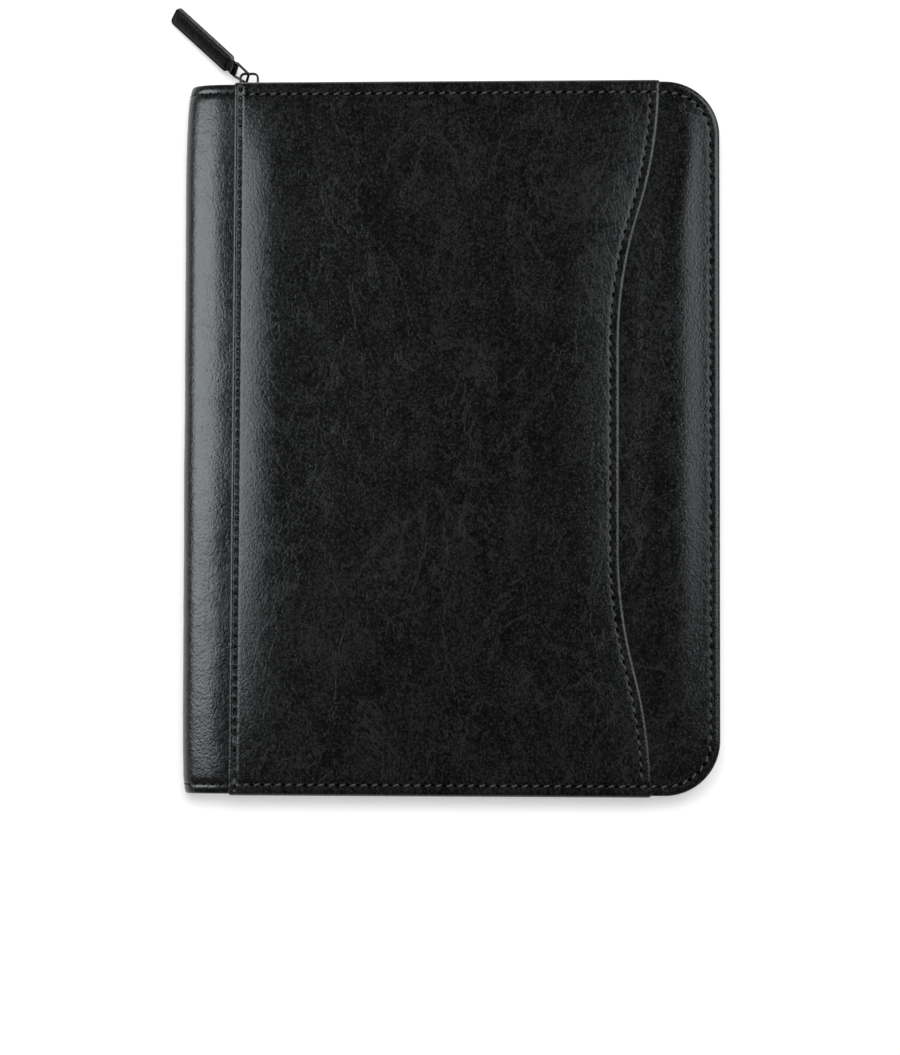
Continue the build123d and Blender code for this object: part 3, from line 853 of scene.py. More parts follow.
x, y, z = (side[:, ::-1] for side in cover_places((3 * mm, 1.4 * mm), flat_swell, 8.0))
back_z = 2 * middle_z - cover_high.z
back_cover = add_sheet("back_cover_leather", x, y, back_z - z, 1.0 * mm, cover_leather)
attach(back_cover, "back_cover")
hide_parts("back_leather")
print("back cover leather", x.shape)

# %% [markdown]
# ## Outside pocket panel
#
# A second, softly padded panel covers most of the front and leaves a pocket behind its curved edge. Its
# spine side and its curved side are folded edges, and its ends are turned over the cover's own edge with
# it. The ogee edge is a straight with two equal arcs at each end.

# %% Outside pocket panel
panel_low, panel_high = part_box("front_pocket_panel")
panel_left = panel_low.x
fold_roll = 0.75 * mm
fold_breadth = 1.7 * mm
edge_breadth = 1.8 * mm
wrap = 0.8 * mm
panel_crown = 1.8 * mm
panel_width = 180 * mm
panel_pull = 0.3
panel_dents = ((0.16 * mm, 22, 5.0, 1), (0.06 * mm, 90, 9.0, 1))
flank = 0.52
edge_slant = 0.98
panel_hem = 8 * mm
wrap_turn = radians(150)
wrap_steps = 7
flat_count = 62
fold_stitch_inset = 2.9 * mm
end_stitch_inset = 5 * mm
edge_stitch_inset = 4.3 * mm


def panel_relief(x, y):
    """Height of the pocket panel's face over its own flat level."""
    from_fold = x - panel_left
    from_edge = (pocket_edge_x(y) - x) * edge_slant
    from_end = half_height - np.abs(y)
    # Distance from the seam's stitches, place along it, depth and width of its groove, reach of the swell
    seams = (
        (from_fold - fold_stitch_inset, y, 1.2 * mm, 0.9 * mm, 20 * mm),
        (from_edge - edge_stitch_inset, y, 0.12 * mm, 0.8 * mm, 21 * mm),
        (from_end - end_stitch_inset, x, 0.2 * mm, 1.0 * mm, 46 * mm),
    )
    groove = 0
    swell = panel_crown * foot_ease(y) * (flank + (1 - flank) * np.clip(from_edge / panel_width, 0, 1))
    for distance, along, depth, width, reach in seams:
        groove = groove + stitch_pull(along, panel_pull) * hollow(distance, depth, width)
        swell = swell * swelling(distance, reach)
    skive = (leather - wrap) * fading(from_end, 3 * mm)
    return swell - groove - skive + dents(x, y, panel_dents) * np.clip(swell / panel_crown, 0, 1)


def panel_places():
    """Places of the pocket panel's grid."""
    wrap_roll = edge_roll + wrap
    wrap_angles = [wrap_turn * (1 - step / wrap_steps) for step in range(wrap_steps + 1)]
    wrap_insets = [wrap_roll - wrap - wrap_roll * sin(angle) for angle in wrap_angles]
    wrap_drops = [wrap_roll - wrap_roll * cos(angle) for angle in wrap_angles]
    near, near_drops = with_face(rolled_edge(fold_roll, panel_hem, 10, fold_breadth))
    far, far_drops = with_face(rolled_edge(fold_roll, panel_hem, 10, edge_breadth))
    end = with_face((wrap_insets, wrap_drops))
    y_line = plate_lines(-half_height, half_height, 1.4 * mm, end, end)[0]
    turn = np.zeros((len(y_line), 1))
    turn[: wrap_steps + 1, 0] = wrap_angles
    turn[-wrap_steps - 1 :, 0] = wrap_angles[::-1]
    edge = pocket_edge_x(np.clip(y_line, -half_height, half_height))[:, None]
    left = panel_left + np.array(near)[None, :]
    right = edge - np.array(far[::-1])[None, :]
    share = np.linspace(0, 1, flat_count + 2)[None, 1:-1]
    flat = left[:, -1:] * (1 - share) + right[:, :1] * share
    x = np.hstack([left + 0 * edge, flat, right])
    x_drop = np.array(near_drops + [0.0] * flat_count + far_drops[::-1])[None, :]
    relief = panel_relief(x, y_line[:, None] + 0 * x)
    y = y_line[:, None] - np.sign(y_line)[:, None] * x_drop * np.sin(turn)
    level = panel_high.z + relief - wrap_roll + (wrap_roll - x_drop) * np.cos(turn)
    return x, y, level


x, y, z = panel_places()
pocket_panel = add_sheet("front_pocket_leather", x, y, z, 0.5 * mm, cover_leather)
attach(pocket_panel, "front_cover")
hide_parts("front_pocket_panel")
print("pocket panel", x.shape)

# %% [markdown]
# ## Front stitching
#
# Three rows show on the front: one along the folded edge at the spine, one beside the curved edge, and one
# round the three zip sides, which steps down from the pocket panel to the cover at the curved edge.

# %% Front stitching
def face_height(x, y):
    """Height of the front's outer face at a place."""
    inset = np.minimum(right_x - x, half_height - np.abs(y))
    on_panel = x < pocket_edge_x(y)
    cover = cover_high.z + front_swell(x, y, inset) - sewn_groove(inset, y * 0)
    return np.where(on_panel, panel_high.z + panel_relief(x, y), cover)


def on_face(x, y):
    """A path laid on the front's outer face."""
    x, y = np.asarray(x, float), np.asarray(y, float)
    return np.stack([x, y, face_height(x, y)], axis=1)


def perimeter(inset, start_x):
    """Outline of a cover at an inset, from the top of the seam round the zip sides to its foot."""
    angles = np.linspace(pi / 2, 0, 25)
    radius = corner_radius - inset
    arc_x = right_x - corner_radius + radius * np.cos(angles)
    arc_y = half_height - corner_radius + radius * np.sin(angles)
    run = np.arange(start_x, right_x - corner_radius, 1 * mm)
    rise = np.linspace(half_height - corner_radius, corner_radius - half_height, 220)[1:-1]
    x = np.concatenate([run, arc_x, np.full(len(rise), right_x - inset), arc_x[::-1], run[::-1]])
    top = np.full(len(run), half_height - inset)
    y = np.concatenate([top, arc_y, rise, -arc_y[::-1], -top])
    return x, y


def sew(name, x, y, **options):
    """A row of stitches on the front's outer face."""
    row = add_stitch_row(name, on_face(x, y), **options)
    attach(row, "front_cover")


path_steps = 320
rim_drift = 1.2 * mm
seam_end = half_height - 6 * mm
seam_run = np.linspace(seam_end, -seam_end, path_steps)
# The fold row takes the darker thread, painted shade of its deep groove.
sew("fold_stitches", np.full(len(seam_run), panel_left + fold_stitch_inset), seam_run, thread=groove_shaded_thread)
edge_end = half_height - 7 * mm
edge_run = np.linspace(edge_end, -edge_end, path_steps)
sew("pocket_edge_stitches", pocket_edge_x(edge_run) - edge_stitch_inset, edge_run)
rim_x, rim_y = perimeter(stitch_inset, panel_left + 6 * mm)
sew("front_rim_stitches", rim_x, rim_y - rim_drift * np.clip(rim_y / half_height, 0, 1) ** 6)

# %% [markdown]
# ## Back stitching
#
# The back cover is sewn round its zip sides like the front, and once more along its fold at the spine.

# %% Back stitching
downward = (0, 0, -1)
back_fold_inset = 3 * mm


def level_path(x, y, z):
    """A path of points at one height."""
    x, y, z = np.broadcast_arrays(x, y, z)
    return np.stack([x, y, z], axis=1)


back_rim = level_path(rim_x, rim_y, back_z)
fold_line = level_path(seam_x + back_fold_inset, seam_run, back_z)
for name, path in (("back_rim_stitches", back_rim), ("back_fold_stitches", fold_line)):
    row = add_stitch_row(name, path, up=downward)
    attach(row, "back_cover")

# %% [markdown]
# ## Spine
#
# The spine is a strip of soft leather with a round back. It is made in two halves that meet at its middle.
# Each half has its place baked into its mesh and is not hung on either fold.

# %% Spine section
spine_low, spine_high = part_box("spine_leather")
tuck = 2.5 * mm
end_pinch = 1.3 * mm
spine_belly = 1.8 * mm
belly_reach = 45 * mm
belly_lean = 0.35
spine_dents = ((0.22 * mm, 24, 14.0, 2), (0.07 * mm, 120, 2.0, 1))
spine_power = 2.8
section_count = 42
row_gap = 1.6 * mm
fold_x = spine_low.x + 12 * mm
front_z = spine_high.z


def spine_section(inset, tucked):
    """Front half of the spine's section: places from the seam to the middle, and their outward normals."""
    width, height = seam_x - spine_low.x, front_z - middle_z
    turn = np.linspace(0, pi / 2, 600)
    across, up = np.sin(turn) ** (2 / spine_power), np.cos(turn) ** (2 / spine_power)
    steps = np.hypot(np.diff(across) * width, np.diff(up) * height)
    run = np.concatenate([[0], np.cumsum(steps)])
    even = np.interp(np.linspace(0, run[-1], section_count), run, turn)
    across, up = np.sin(even) ** (2 / spine_power), np.cos(even) ** (2 / spine_power)
    normal_x, normal_z = -(across ** (spine_power - 1)) / width, up ** (spine_power - 1) / height
    length = np.hypot(normal_x, normal_z)
    normal_x, normal_z = normal_x / length, normal_z / length
    x = seam_x - across * width - normal_x * inset
    z = middle_z + up * height - normal_z * inset
    flat = []
    if tucked:
        flat = [(seam_x + tucked * share, front_z - inset, 0.0, 1.0) for share in (1.0, 0.75, 0.5, 0.25)]
    return np.array(flat + list(zip(x, z, normal_x, normal_z)))


def spine_half(name, section, edge, mirrored, thickness, material, relief):
    """One half of a strip along the spine, with its ends turned in."""
    insets, drops = edge
    lines = insets + spaced(insets[-1] + row_gap, half_height, row_gap)
    fall = np.array(drops + [0.0] * (len(lines) - len(drops)))
    lower = np.array(lines) - half_height
    y_line = np.concatenate([lower, [0.0], -lower[::-1]])
    fall = np.concatenate([fall, [0.0], fall[::-1]])[:, None]
    from_end = half_height - np.abs(y_line)[:, None]
    x0, z0, nx, nz = (section[None, :, index] for index in range(4))
    y = y_line[:, None] + 0 * x0
    lift = relief(x0 + 0 * y, y, from_end + 0 * x0) - fall
    x = x0 + nx * lift
    z = z0 + nz * lift
    if mirrored:
        return add_sheet(name, x, y, 2 * middle_z - z, thickness, material)
    return add_sheet(name, x[:, ::-1], y[:, ::-1], z[:, ::-1], thickness, material)


# %% Spine leather
def spine_relief(x, y, from_end):
    """Small dents of the soft spine, its belly towards the top, the hem's groove and the pinched ends."""
    groove = hollow(from_end - stitch_inset, 2 * groove_depth, groove_width)
    pinch = end_pinch * fading(from_end, 3.2 * mm)
    outwards = np.clip((fold_x - x) / (fold_x - spine_low.x), 0, 1)
    leaning = 1 - belly_lean + belly_lean * np.clip(y / half_height, -1, 1)
    belly = spine_belly * outwards**2 * leaning * swelling(from_end, belly_reach)
    return dents(x, y, spine_dents) - groove - pinch + belly


outer = spine_section(0.0, tuck)
hem_insets, hem_drops = rolled_edge(0.8 * mm, 7 * mm, 6)
groove_insets = [inset * mm for inset in (1.4, 2.2, 3.0, 3.5, 4.0, 4.5, 5.2, 6.4)]
spine_hem = (hem_insets + groove_insets, hem_drops + [0.0] * len(groove_insets))
halves = (("back", True), ("front", False))


def bend_half(piece, mirrored):
    """Bakes a piece of the spine into place, the same for either half."""
    if mirrored:
        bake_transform(piece)
    else:
        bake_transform(piece)


for half, mirrored in halves:
    name = f"spine_leather_{half}"
    piece = spine_half(name, outer, spine_hem, mirrored, 1.0 * mm, spine_leather, spine_relief)
    bend_half(piece, mirrored)
    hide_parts("spine_leather")
    print(piece.name, len(piece.data.vertices), "points")

# %% Spine stitches
def spine_row(name, y, mirrored):
    """Hem stitches across one end of the spine, over its front or back half."""
    x, z, normal_x, normal_z = outer[outer[:, 0] < seam_x].T
    from_end = half_height - abs(y) + 0 * x
    lift = spine_relief(x, y + 0 * x, from_end)
    x, z = x + normal_x * lift, z + normal_z * lift
    flip = -1 if mirrored else 1
    z = middle_z + flip * (z - middle_z)
    places = np.stack([x, y + 0 * x, z], axis=1)
    up = np.stack([normal_x, 0 * x, flip * normal_z], axis=1)
    # The hem rows take the darker thread, painted shade of the hem groove.
    return add_stitch_row(name, places, up=up, thread=groove_shaded_thread, pitch=4 * mm, slant=0)


for end, y in (("top", half_height - stitch_inset), ("bottom", stitch_inset - half_height)):
    for half, mirrored in halves:
        bend_half(spine_row(f"spine_{end}_stitches_{half}", y, mirrored), mirrored)

# %% [markdown]
# ## Zip pull
#
# The pull is a leather tab on a wire link, and it lies at a slant across the corner. Its two joints give the
# place of the bail and of the link's bar, so everything on the pull is drawn along, across and above the line
# between them.

# %% Zip pull
pivot = Vector(joints["pull_swing"]["pos_m"])
bar = Vector(joints["tab_swing"]["pos_m"])
pull_x = (bar - pivot).normalized()
pull_y = -Vector(joints["pull_swing"]["axis"]).normalized()
pull_z = pull_x.cross(pull_y)
link_length = (bar - pivot).length
print("link", round(link_length / mm, 1), "mm from bail to bar")


def in_pull(x, y, z):
    """Places along, across and above the pull's own middle plane, set in the padfolio."""
    x, y, z = np.broadcast_arrays(np.asarray(x, float), y, z)
    return tuple(pivot[axis] + pull_x[axis] * x + pull_y[axis] * y + pull_z[axis] * z for axis in range(3))


# %% [markdown]
# ## Link
#
# The link is a thin wire bent to a closed loop, wider at the tab than at the bail. A curve with a round bevel
# draws it, because that keeps the wire round through its bends.

# %% Link
link_wire = 1.3 * mm
link_half_bail = 2.85 * mm
link_half_tab = 4.15 * mm
link_bend = 1.1 * mm


def rounded_loop(corners, radii, steps=7):
    """A closed flat loop through corners, each rounded by an arc."""
    points = []
    for index, (corner, radius) in enumerate(zip(corners, np.broadcast_to(radii, len(corners)))):
        here = np.array(corner)
        before = np.array(corners[index - 1]) - here
        after = np.array(corners[(index + 1) % len(corners)]) - here
        before, after = before / np.linalg.norm(before), after / np.linalg.norm(after)
        half = np.arccos(np.clip(before @ after, -1, 1)) / 2
        middle = (before + after) / np.linalg.norm(before + after)
        centre = here + middle * radius / np.sin(half)
        first = here + before * radius / np.tan(half) - centre
        last = here + after * radius / np.tan(half) - centre
        for step in range(steps + 1):
            share = step / steps
            spoke = first * (1 - share) + last * share
            points.append(centre + spoke / np.linalg.norm(spoke) * radius)
    return np.array(points)


def add_wire(name, points, radius, material):
    """A closed loop of round wire."""
    line = bpy.data.curves.new(name, "CURVE")
    line.dimensions = "3D"
    line.bevel_depth = radius
    line.bevel_resolution = 4
    spline = line.splines.new("POLY")
    spline.points.add(len(points) - 1)
    spline.points.foreach_set("co", np.hstack([points, np.ones((len(points), 1))]).ravel())
    spline.use_cyclic_u = True
    wire = bpy.data.objects.new(name, line)
    bpy.context.scene.collection.objects.link(wire)
    activate(wire)
    bpy.ops.object.convert(target="MESH")
    bpy.ops.object.shade_smooth()
    wire.data.materials.append(material)
    return wire


link_corners = [
    (0, -link_half_bail),
    (link_length, -link_half_tab),
    (link_length, link_half_tab),
    (0, link_half_bail),
]
loop = rounded_loop(link_corners, link_bend)
wire_places = np.stack(in_pull(loop[:, 0], loop[:, 1], 0.0), axis=1)
wire_link = add_wire("wire_link", wire_places, link_wire / 2, gunmetal)
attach(wire_link, "link")
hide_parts("pull_link")

# %% [markdown]
# ## Tab
#
# The tab is a strip of leather folded round the link's bar: two layers that lie on each other, each with its
# own soft edge, so that a dark line shows between them along the side. It hangs a few degrees askew.

# %% Tab
tab_start = link_length + 2.4 * mm
tab_end = link_length + 41.4 * mm
tab_half = 4.7 * mm
tab_layer = 1.2 * mm
tab_corner = 2.2 * mm
neck_half = 2.8 * mm
neck_lap = 1.5 * mm
neck_mouth = radians(42)
barrel = 1.8 * mm
tab_crown = 0.45 * mm
tab_groove = 0.14 * mm
groove_inset = 1.2 * mm
edge_lean = 0.8
tab_turn = Matrix.Rotation(radians(-5), 3, "Z") @ Matrix.Rotation(radians(10), 3, pull_x)


def in_tab(x, y, z):
    """Places in the pull's plane, turned a little about the bar as the soft tab hangs askew."""
    straight = np.stack(in_pull(x, y, z), axis=-1)
    turned = (straight - np.array(bar)) @ np.array(tab_turn).T + np.array(bar)
    share = np.clip((x - link_length) / (tab_start - link_length), 0, 1)[..., None]
    places = straight * (1 - share) + turned * share
    return tuple(places[..., axis] for axis in range(3))


def tab_side(name, side):
    """One leather layer of the tab, its face crowned and its edge rolled."""
    insets, drops = rolled_edge(tab_layer / 2, 1.6 * mm, 6)
    edge = (insets + [inset * mm for inset in (0.9, 1.2, 1.5, 1.9)], drops + [0.0] * 4)
    low, high = (tab_start, -tab_half), (tab_end, tab_half)
    x, y, drop, inset = plate_places(low, high, (tab_corner,) * 4, edge, (1 * mm, 0.6 * mm))
    crown = tab_crown * (1 - fading(inset - groove_inset, 1.6 * mm))
    groove = hollow(inset - groove_inset, tab_groove, 0.4 * mm)
    z = side * (tab_layer - drop + np.where(drop > 0, 0, crown - groove))
    flip = slice(None, None, side)
    places = in_tab(x, y, z)
    return add_sheet(name, *(place[:, flip] for place in places), 0.4 * mm, tab_leather)


def tab_neck():
    """The strip that runs from the tab round the link's bar and back."""
    count = 7
    lift = np.full(count, tab_layer * 0.95)
    run = np.linspace(tab_start + neck_lap, link_length + barrel * 0.75, count)
    angles = np.linspace(neck_mouth, 2 * pi - neck_mouth, 25)
    ring_x = link_length + barrel * np.cos(angles)
    ring_z = barrel * np.sin(angles)
    x = np.concatenate([run, ring_x, run[::-1]])
    z = np.concatenate([lift, ring_z, -lift])
    y = np.linspace(-neck_half, neck_half, 9)[:, None]
    places = in_tab(x[None, :] + 0 * y, y + 0 * x[None, :], z[None, :] + 0 * y)
    return add_sheet("tab_neck", *(place[:, ::-1] for place in places), 0.9 * mm, tab_leather)


layers = join_pieces("tab_layers", [tab_side("tab_front", 1), tab_side("tab_back", -1)])
# The side faces of both layers take the paler leather: a painted highlight along the lit edges.
layers.data.materials.append(painted_edge_highlight)
tab_face = tab_turn @ pull_z
for face in layers.data.polygons:
    face.material_index = int(abs(face.normal.dot(tab_face)) < edge_lean)
tab = join_pieces("leather_tab", [layers, tab_neck()])
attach(tab, "tab")
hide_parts("pull_tab")
print("tab", round((tab_end - tab_start) / mm, 1), "mm long")

# %% [markdown]
# ## Slider and stops
#
# The slider, its bail and the stops have the right shape in the frame. A copy of each is merged, its flat
# faces are dissolved and its edges get a small bevel, because a plated casting never has a sharp edge.

# %% Slider and stops
def soften(node, name, width, body, material, segments=3):
    """A copy of a rigid node with rounded edges, which stands for it."""
    clear_selection()
    piece = bpy.data.objects.new(name, frame["nodes"][node].data.copy())
    bpy.context.scene.collection.objects.link(piece)
    piece.data.materials.clear()
    edit_all(piece)
    bpy.ops.mesh.remove_doubles(threshold=0.002 * mm)
    bpy.ops.mesh.dissolve_limited(angle_limit=radians(1))
    bpy.ops.object.mode_set(mode="OBJECT")
    bevel = piece.modifiers.new("soft_edges", "BEVEL")
    bevel.width = width
    bevel.segments = segments
    bevel.limit_method = "ANGLE"
    bevel.angle_limit = radians(35)
    apply_modifiers(piece)
    bpy.ops.object.shade_smooth_by_angle(angle=radians(40))
    piece.data.materials.append(material)
    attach(piece, body)
    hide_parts(node)
    print(name, len(piece.data.polygons), "faces")


for node, name, width, body in (
    ("slider_body", "zip_slider_body", 0.28 * mm, "zip_slider"),
    ("slider_bail", "zip_slider_bail", 0.32 * mm, "zip_slider"),
    ("lower_zip_stops", "zip_end_stops", 0.25 * mm, "back_cover"),
    ("upper_zip_stop", "zip_upper_stop", 0.25 * mm, "front_cover"),
):
    soften(node, name, width, body, gunmetal)

# %% [markdown]
# ## Zip tapes
#
# Each tape is a woven strip. It lies flat under the hem, turns up as the side wall and carries the teeth on
# a thicker woven edge. The grid runs along the zip in one direction and across the tape in the other.

# %% Zip tapes
tape_low, tape_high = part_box("lower_zip_tape")
upper_low, upper_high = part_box("upper_zip_tape")
slider_low, slider_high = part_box("slider_body")
tape_inset = right_x - tape_high.x
tape = 0.6 * mm
tape_bend = 0.7 * mm
slider_room = 1.2 * mm


def tape_section(wall_height):
    """Inset and height of the tape's outer side, from the flange's inner edge to the teeth."""
    places = [(hem, 0.0), (hem * 0.6, 0.0), (tape_inset + tape_bend * 2, 0.0)]
    for step in range(5):
        angle = pi / 2 * step / 4
        places.append((tape_inset + tape_bend * (1 - sin(angle)), tape_bend * (1 - cos(angle))))
    for height in np.linspace(tape_bend, wall_height, 8)[1:]:
        from_edge = wall_height - height
        places.append((tape_inset - hollow(from_edge, 0.3 * mm, 0.9 * mm), height))
    return places


def add_tape(name, node, foot_z, wall_height, direction, body):
    """One zip tape, rising or hanging from its flange."""
    section = tape_section(wall_height)
    rings = np.array([perimeter(inset, tape_low.x) for inset, _ in section])
    x, y = rings[:, 0], rings[:, 1]
    rise = np.array([height for _, height in section])[:, None] + 0 * x
    if direction < 0:
        parked = (x < slider_high.x + slider_room) & (y > 0)
        notched = (foot_z - slider_high.z - slider_room) / wall_height
        rise = np.where(parked, rise * notched, rise)
    z = foot_z + direction * rise
    flip = slice(None, None, int(-direction))
    piece = add_sheet(name, x[:, flip], y[:, flip], z[:, flip], tape, zip_cloth)
    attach(piece, body)
    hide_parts(node)
    print(name, x.shape)


add_tape("lower_tape", "lower_zip_tape", tape_low.z, tape_high.z - tape_low.z, 1, "back_cover")
add_tape("upper_tape", "upper_zip_tape", upper_high.z, upper_high.z - upper_low.z, -1, "front_cover")

# %% [markdown]
# ## Zip teeth
#
# One moulded tooth straddles the tape's edge and ends in a rounded head. It is modelled once and repeated
# along the zip, as the stitches are, and the upper row is set half a pitch on so that the heads mesh.

# %% Zip teeth
tooth_pitch = 3.0 * mm
tooth_root = np.array([1.5, 1.9, 1.6]) * mm
tooth_steps = ((0.9 * mm, 0.62), (0.7 * mm, 1.0), (0.9 * mm, 1.35))
tooth_bevel = 0.16 * mm
chain_start = slider_low.x + 6.3 * mm
upper_shift = 3.5 * tooth_pitch


def add_teeth(name, node, start_shift, edge_z, direction, body):
    """A row of moulded teeth along a tape's edge."""
    x, y = perimeter(tape_inset + tape / 2, chain_start)
    path = level_path(x, y, edge_z)
    count = int((run_lengths(path)[-1] - start_shift) / tooth_pitch)
    clear_selection()
    bpy.ops.mesh.primitive_cube_add(size=1)
    row = bpy.context.object
    row.name = row.data.name = name
    write_points(row, read_points(row) * tooth_root - (0, 0, tooth_root[2] / 2))
    bpy.ops.object.mode_set(mode="EDIT")
    for lift, narrow in tooth_steps:
        bpy.ops.mesh.select_all(action="DESELECT")
        bpy.ops.object.mode_set(mode="OBJECT")
        top = max(face.center.z for face in row.data.polygons)
        for face in row.data.polygons:
            face.select = face.center.z > top - 0.01 * mm
        bpy.ops.object.mode_set(mode="EDIT")
        bpy.ops.mesh.extrude_region_move(TRANSFORM_OT_translate={"value": (0, 0, lift)})
        bpy.ops.transform.resize(value=(narrow, 1, 1))
    bpy.ops.object.mode_set(mode="OBJECT")
    soft = row.modifiers.new("moulded", "BEVEL")
    soft.width = tooth_bevel
    soft.segments = 1
    apply_modifiers(row)
    points = read_points(row)
    points[:, 2] *= direction
    points[:, 0] += start_shift + tooth_pitch / 2
    write_points(row, points)
    repeat_along(row, path, count, tooth_pitch)
    edit_all(row)
    bpy.ops.mesh.normals_make_consistent(inside=False)
    bpy.ops.object.mode_set(mode="OBJECT")
    bpy.ops.object.shade_smooth_by_angle(angle=radians(50))
    row.data.materials.append(tooth_plastic)
    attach(row, body)
    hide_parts(node)
    print(name, count, "teeth")


add_teeth("lower_teeth", "lower_zip_teeth", 0.0, tape_high.z, 1, "back_cover")
add_teeth("upper_teeth", "upper_zip_teeth", upper_shift, upper_low.z, -1, "front_cover")

# %% [markdown]
# ## Linings
#
# Inside, both covers and the spine are lined with a thin woven cloth. The spine's lining is made in two
# halves, as its leather is.

# %% Linings
lining = 0.5 * mm


def add_plate(name, nodes, body, material, up, radii, edge, spacing, relief=None, thickness=0.4 * mm):
    """A sewn-in panel in the place of a node, its face up or down."""
    low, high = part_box(nodes[0])
    x, y, drop, inset = plate_places(low[:2], high[:2], radii, edge, spacing)
    swell = relief(x, y, inset) if relief else 0 * x
    level = np.where(drop > 0, -drop, swell)
    if up:
        piece = add_sheet(name, x, y, high.z + level, thickness, material)
    else:
        piece = add_sheet(name, x[:, ::-1], y[:, ::-1], (low.z - level)[:, ::-1], thickness, material)
    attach(piece, body)
    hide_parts(*nodes)
    print(name, x.shape)


cut_edge = ([0.0], [0.0])
lining_inset = 1.8 * mm
lining_corner = corner_radius - lining_inset
for name, node, body, up in (
    ("back_lining_cloth", "back_lining", "back_cover", True),
    ("front_lining_cloth", "front_lining", "front_cover", False),
):
    radii = (0, lining_corner, 0, lining_corner)
    add_plate(name, [node], body, lining_cloth, up, radii, with_face(cut_edge), (5 * mm, 5 * mm))

inner = spine_section(front_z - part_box("spine_lining")[1].z + lining, 0.0)
for half, mirrored in halves:
    lining_edge = ([lining_inset], [0.0])
    cloth = spine_half(f"spine_lining_{half}", inner, lining_edge, mirrored, lining, lining_cloth, flat_swell)
    bend_half(cloth, mirrored)
    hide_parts("spine_lining")

# %% [markdown]
# ## Writing pad and its slot
#
# The pad's card slips behind a smooth leather panel, and its sheets lie over that panel. The sheets are
# a stack of thin bundles, each a little out of line, which gives the pad the edge of real paper.

# %% Pad slot
slot_edge = with_face(rolled_edge(0.6 * mm, 3 * mm, 5))
hem_inset = 3 * mm
hem_groove = 0.3 * mm
inner_pitch = 3.4 * mm
panel_corner = 1.6 * mm
panel_spacing = (5 * mm, 3 * mm)


def slot_relief(x, y, inset):
    """A sewn margin round the slot panel."""
    return -hollow(inset - hem_inset, hem_groove, 0.9 * mm)


def sew_round(name, node, inset, level, up, body, far_corner):
    """Stitches round a panel inside its edge, whose right bottom corner may be a wide one."""
    low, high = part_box(node)
    left, right, foot, head = low.x + inset, high.x - inset, low.y + inset, high.y - inset
    small = 1 * mm
    corners = [(left, foot), (right, foot), (right, head), (left, head)]
    loop = rounded_loop(corners, (small, max(far_corner - inset, small), small, small))
    loop = np.vstack([loop, loop[:1]])
    run = run_lengths(loop)
    even = np.linspace(0, run[-1], int(run[-1] / mm))
    x, y = (np.interp(even, run, loop[:, axis]) for axis in range(2))
    row = add_stitch_row(name, level_path(x, y, level), up, pitch=inner_pitch)
    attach(row, body)


slot_corners = (panel_corner, lining_corner, panel_corner, panel_corner)
add_plate(
    "pad_slot_leather", ["pad_slot_panel"], "back_cover", organizer_leather, True,
    slot_corners, slot_edge, panel_spacing, slot_relief,
)
slot_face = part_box("pad_slot_panel")[1].z - hem_groove
sew_round("pad_slot_stitches", "pad_slot_panel", hem_inset, slot_face, upward, "back_cover", lining_corner)

# %% Writing pad
paper_low, paper_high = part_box("pad_paper")
bundle_count = 10
bundle_slip = 0.35 * mm
bundle_fill = 0.94
bundle = (paper_high.z - paper_low.z) / bundle_count
stack = []
for index in range(bundle_count):
    shift = Vector((noise.noise((index, 0.5, 1)), noise.noise((index, 7.5, 1)), 0)) * bundle_slip
    middle = (paper_low + paper_high) / 2 + shift
    middle.z = paper_low.z + bundle * (index + 0.5)
    size = (paper_high.x - paper_low.x, paper_high.y - paper_low.y, bundle * bundle_fill)
    stack.append(add_block(middle, size))
paper_stack = join_pieces("pad_sheets", stack)
paper_stack.data.materials.append(ruled_paper)
print("pad", bundle_count, "bundles of", round(bundle / mm, 2), "mm")
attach(paper_stack, "back_cover")
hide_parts("pad_paper")
soften("pad_binding", "pad_binding_strip", 0.12 * mm, "back_cover", binding_paper, 2)

# %% [markdown]
# ## Pen loop
#
# A ribbed elastic band is folded into a ring and sewn down beside the pad. The ring is a sheet bent round,
# and its foot is a short block of the same band.

# %% Pen loop
loop_low, loop_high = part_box("pen_loop")
loop_radius = (loop_high.z - loop_low.z) / 2
loop_x = loop_low.x + loop_radius
loop_z = loop_low.z + loop_radius
band = 0.8 * mm
turns, band_y = np.meshgrid(
    np.linspace(-pi / 2, 3 * pi / 2, 57)[::-1],
    np.linspace(loop_low.y, loop_high.y, 13),
)
band_x = loop_x + loop_radius * np.cos(turns)
band_z = loop_z + loop_radius * np.sin(turns)
ring = add_sheet("elastic_pen_loop", band_x, band_y, band_z, band, elastic_band)
foot_middle = Vector(((loop_x + loop_high.x) / 2, (loop_low.y + loop_high.y) / 2, loop_low.z + band))
foot = add_block(foot_middle, (loop_high.x - loop_x, loop_high.y - loop_low.y, 2 * band))
foot.data.materials.append(elastic_band)
pen_loop = join_pieces("elastic_pen_loop", [ring, foot])
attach(pen_loop, "back_cover")
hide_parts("pen_loop")
print("pen loop", round(2 * loop_radius / mm, 1), "mm across")

# %% [markdown]
# ## Organizer
#
# Inside the front cover a wide document pocket carries three stepped card slots and a clear window with
# a sewn frame. Each is a thin panel with a rolled edge, facing the pad.

# %% Organizer
file_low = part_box("file_pocket_panel")[0]
pocket_drop = (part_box("file_pocket_gusset")[1].z - file_low.z) / 2
file_edge = with_face(rolled_edge(pocket_drop, 3 * mm, 6))
file_corner = 18 * mm
window_low, window_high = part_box("id_window")
window_dip = 0.15 * mm


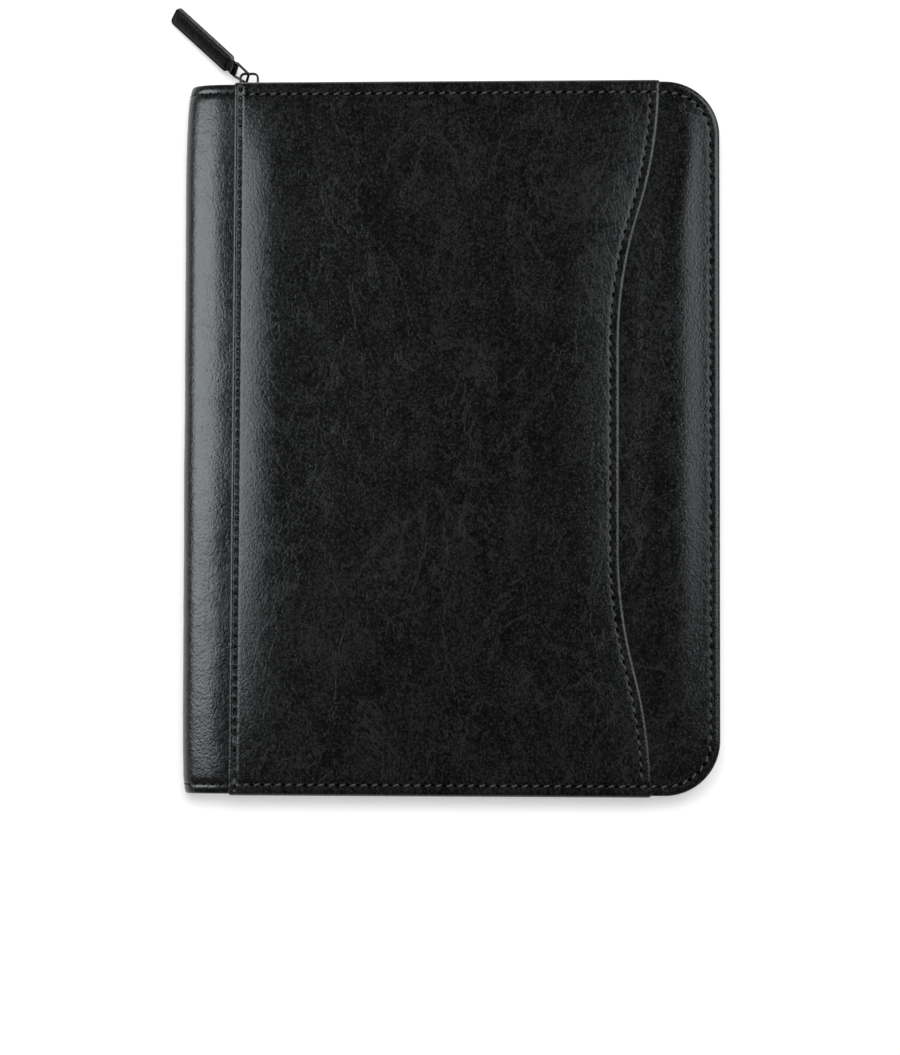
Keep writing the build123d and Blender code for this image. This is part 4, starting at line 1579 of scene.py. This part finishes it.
def pocket_relief(x, y, inset):
    """A sewn margin, and a shallow dip that keeps the panel off the clear window."""
    from_window = np.minimum(
        np.minimum(x - window_low.x, window_high.x - x),
        np.minimum(y - window_low.y, window_high.y - y),
    )
    return slot_relief(x, y, inset) - window_dip * np.clip(1 + from_window / (3 * mm), 0, 1)


file_corners = (panel_corner, file_corner, panel_corner, panel_corner)
add_plate(
    "document_pocket", ["file_pocket_panel", "file_pocket_gusset"], "front_cover",
    organizer_leather, False, file_corners, file_edge, panel_spacing, pocket_relief,
)
file_face = file_low.z + hem_groove
file_stitches = "document_pocket_stitches"
sew_round(file_stitches, "file_pocket_panel", hem_inset, file_face, downward, "front_cover", file_corner)

# %% Card slots and window frame
card_edge = with_face(rolled_edge(0.3 * mm, 2 * mm, 4), 6 * mm)
card_corner = 1.2 * mm
card_hem = 2 * mm
for index in (1, 2, 3):
    add_plate(
        f"card_slot_leather_{index}", [f"card_slot_{index}"], "front_cover",
        organizer_leather, False, (card_corner,) * 4, card_edge, (4 * mm, 3 * mm), thickness=0.25 * mm,
    )
    slot_low, slot_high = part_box(f"card_slot_{index}")
    across = np.linspace(slot_low.x + card_hem, slot_high.x - card_hem, 90)
    hem_line = level_path(across, slot_high.y - card_hem, slot_low.z)
    row = add_stitch_row(f"card_slot_stitches_{index}", hem_line, downward, pitch=inner_pitch)
    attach(row, "front_cover")
frame_bevel = 0.22 * mm
frame_name = "window_frame_leather"
soften("id_window_frame", frame_name, frame_bevel, "front_cover", organizer_leather)
frame_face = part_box("id_window_frame")[0].z
sew_round("window_frame_stitches", "id_window_frame", hem_inset, frame_face, downward, "front_cover", 0)

# %% [markdown]
# ## Boards, card and window
#
# The stiffeners, the pad's card and the clear window are plain plates on the real padfolio too, so the
# frame's own solids stay and only get their finish.

# %% Boards, card and window
plate_finishes = {
    "back_board": grey_board,
    "front_board": grey_board,
    "spine_board": grey_board,
    "pad_card": pad_board,
    "id_window": clear_sheet,
}
for node, material in plate_finishes.items():
    frame["nodes"][node].data.materials.clear()
    frame["nodes"][node].data.materials.append(material)
print("plates kept from the frame", len(plate_finishes))
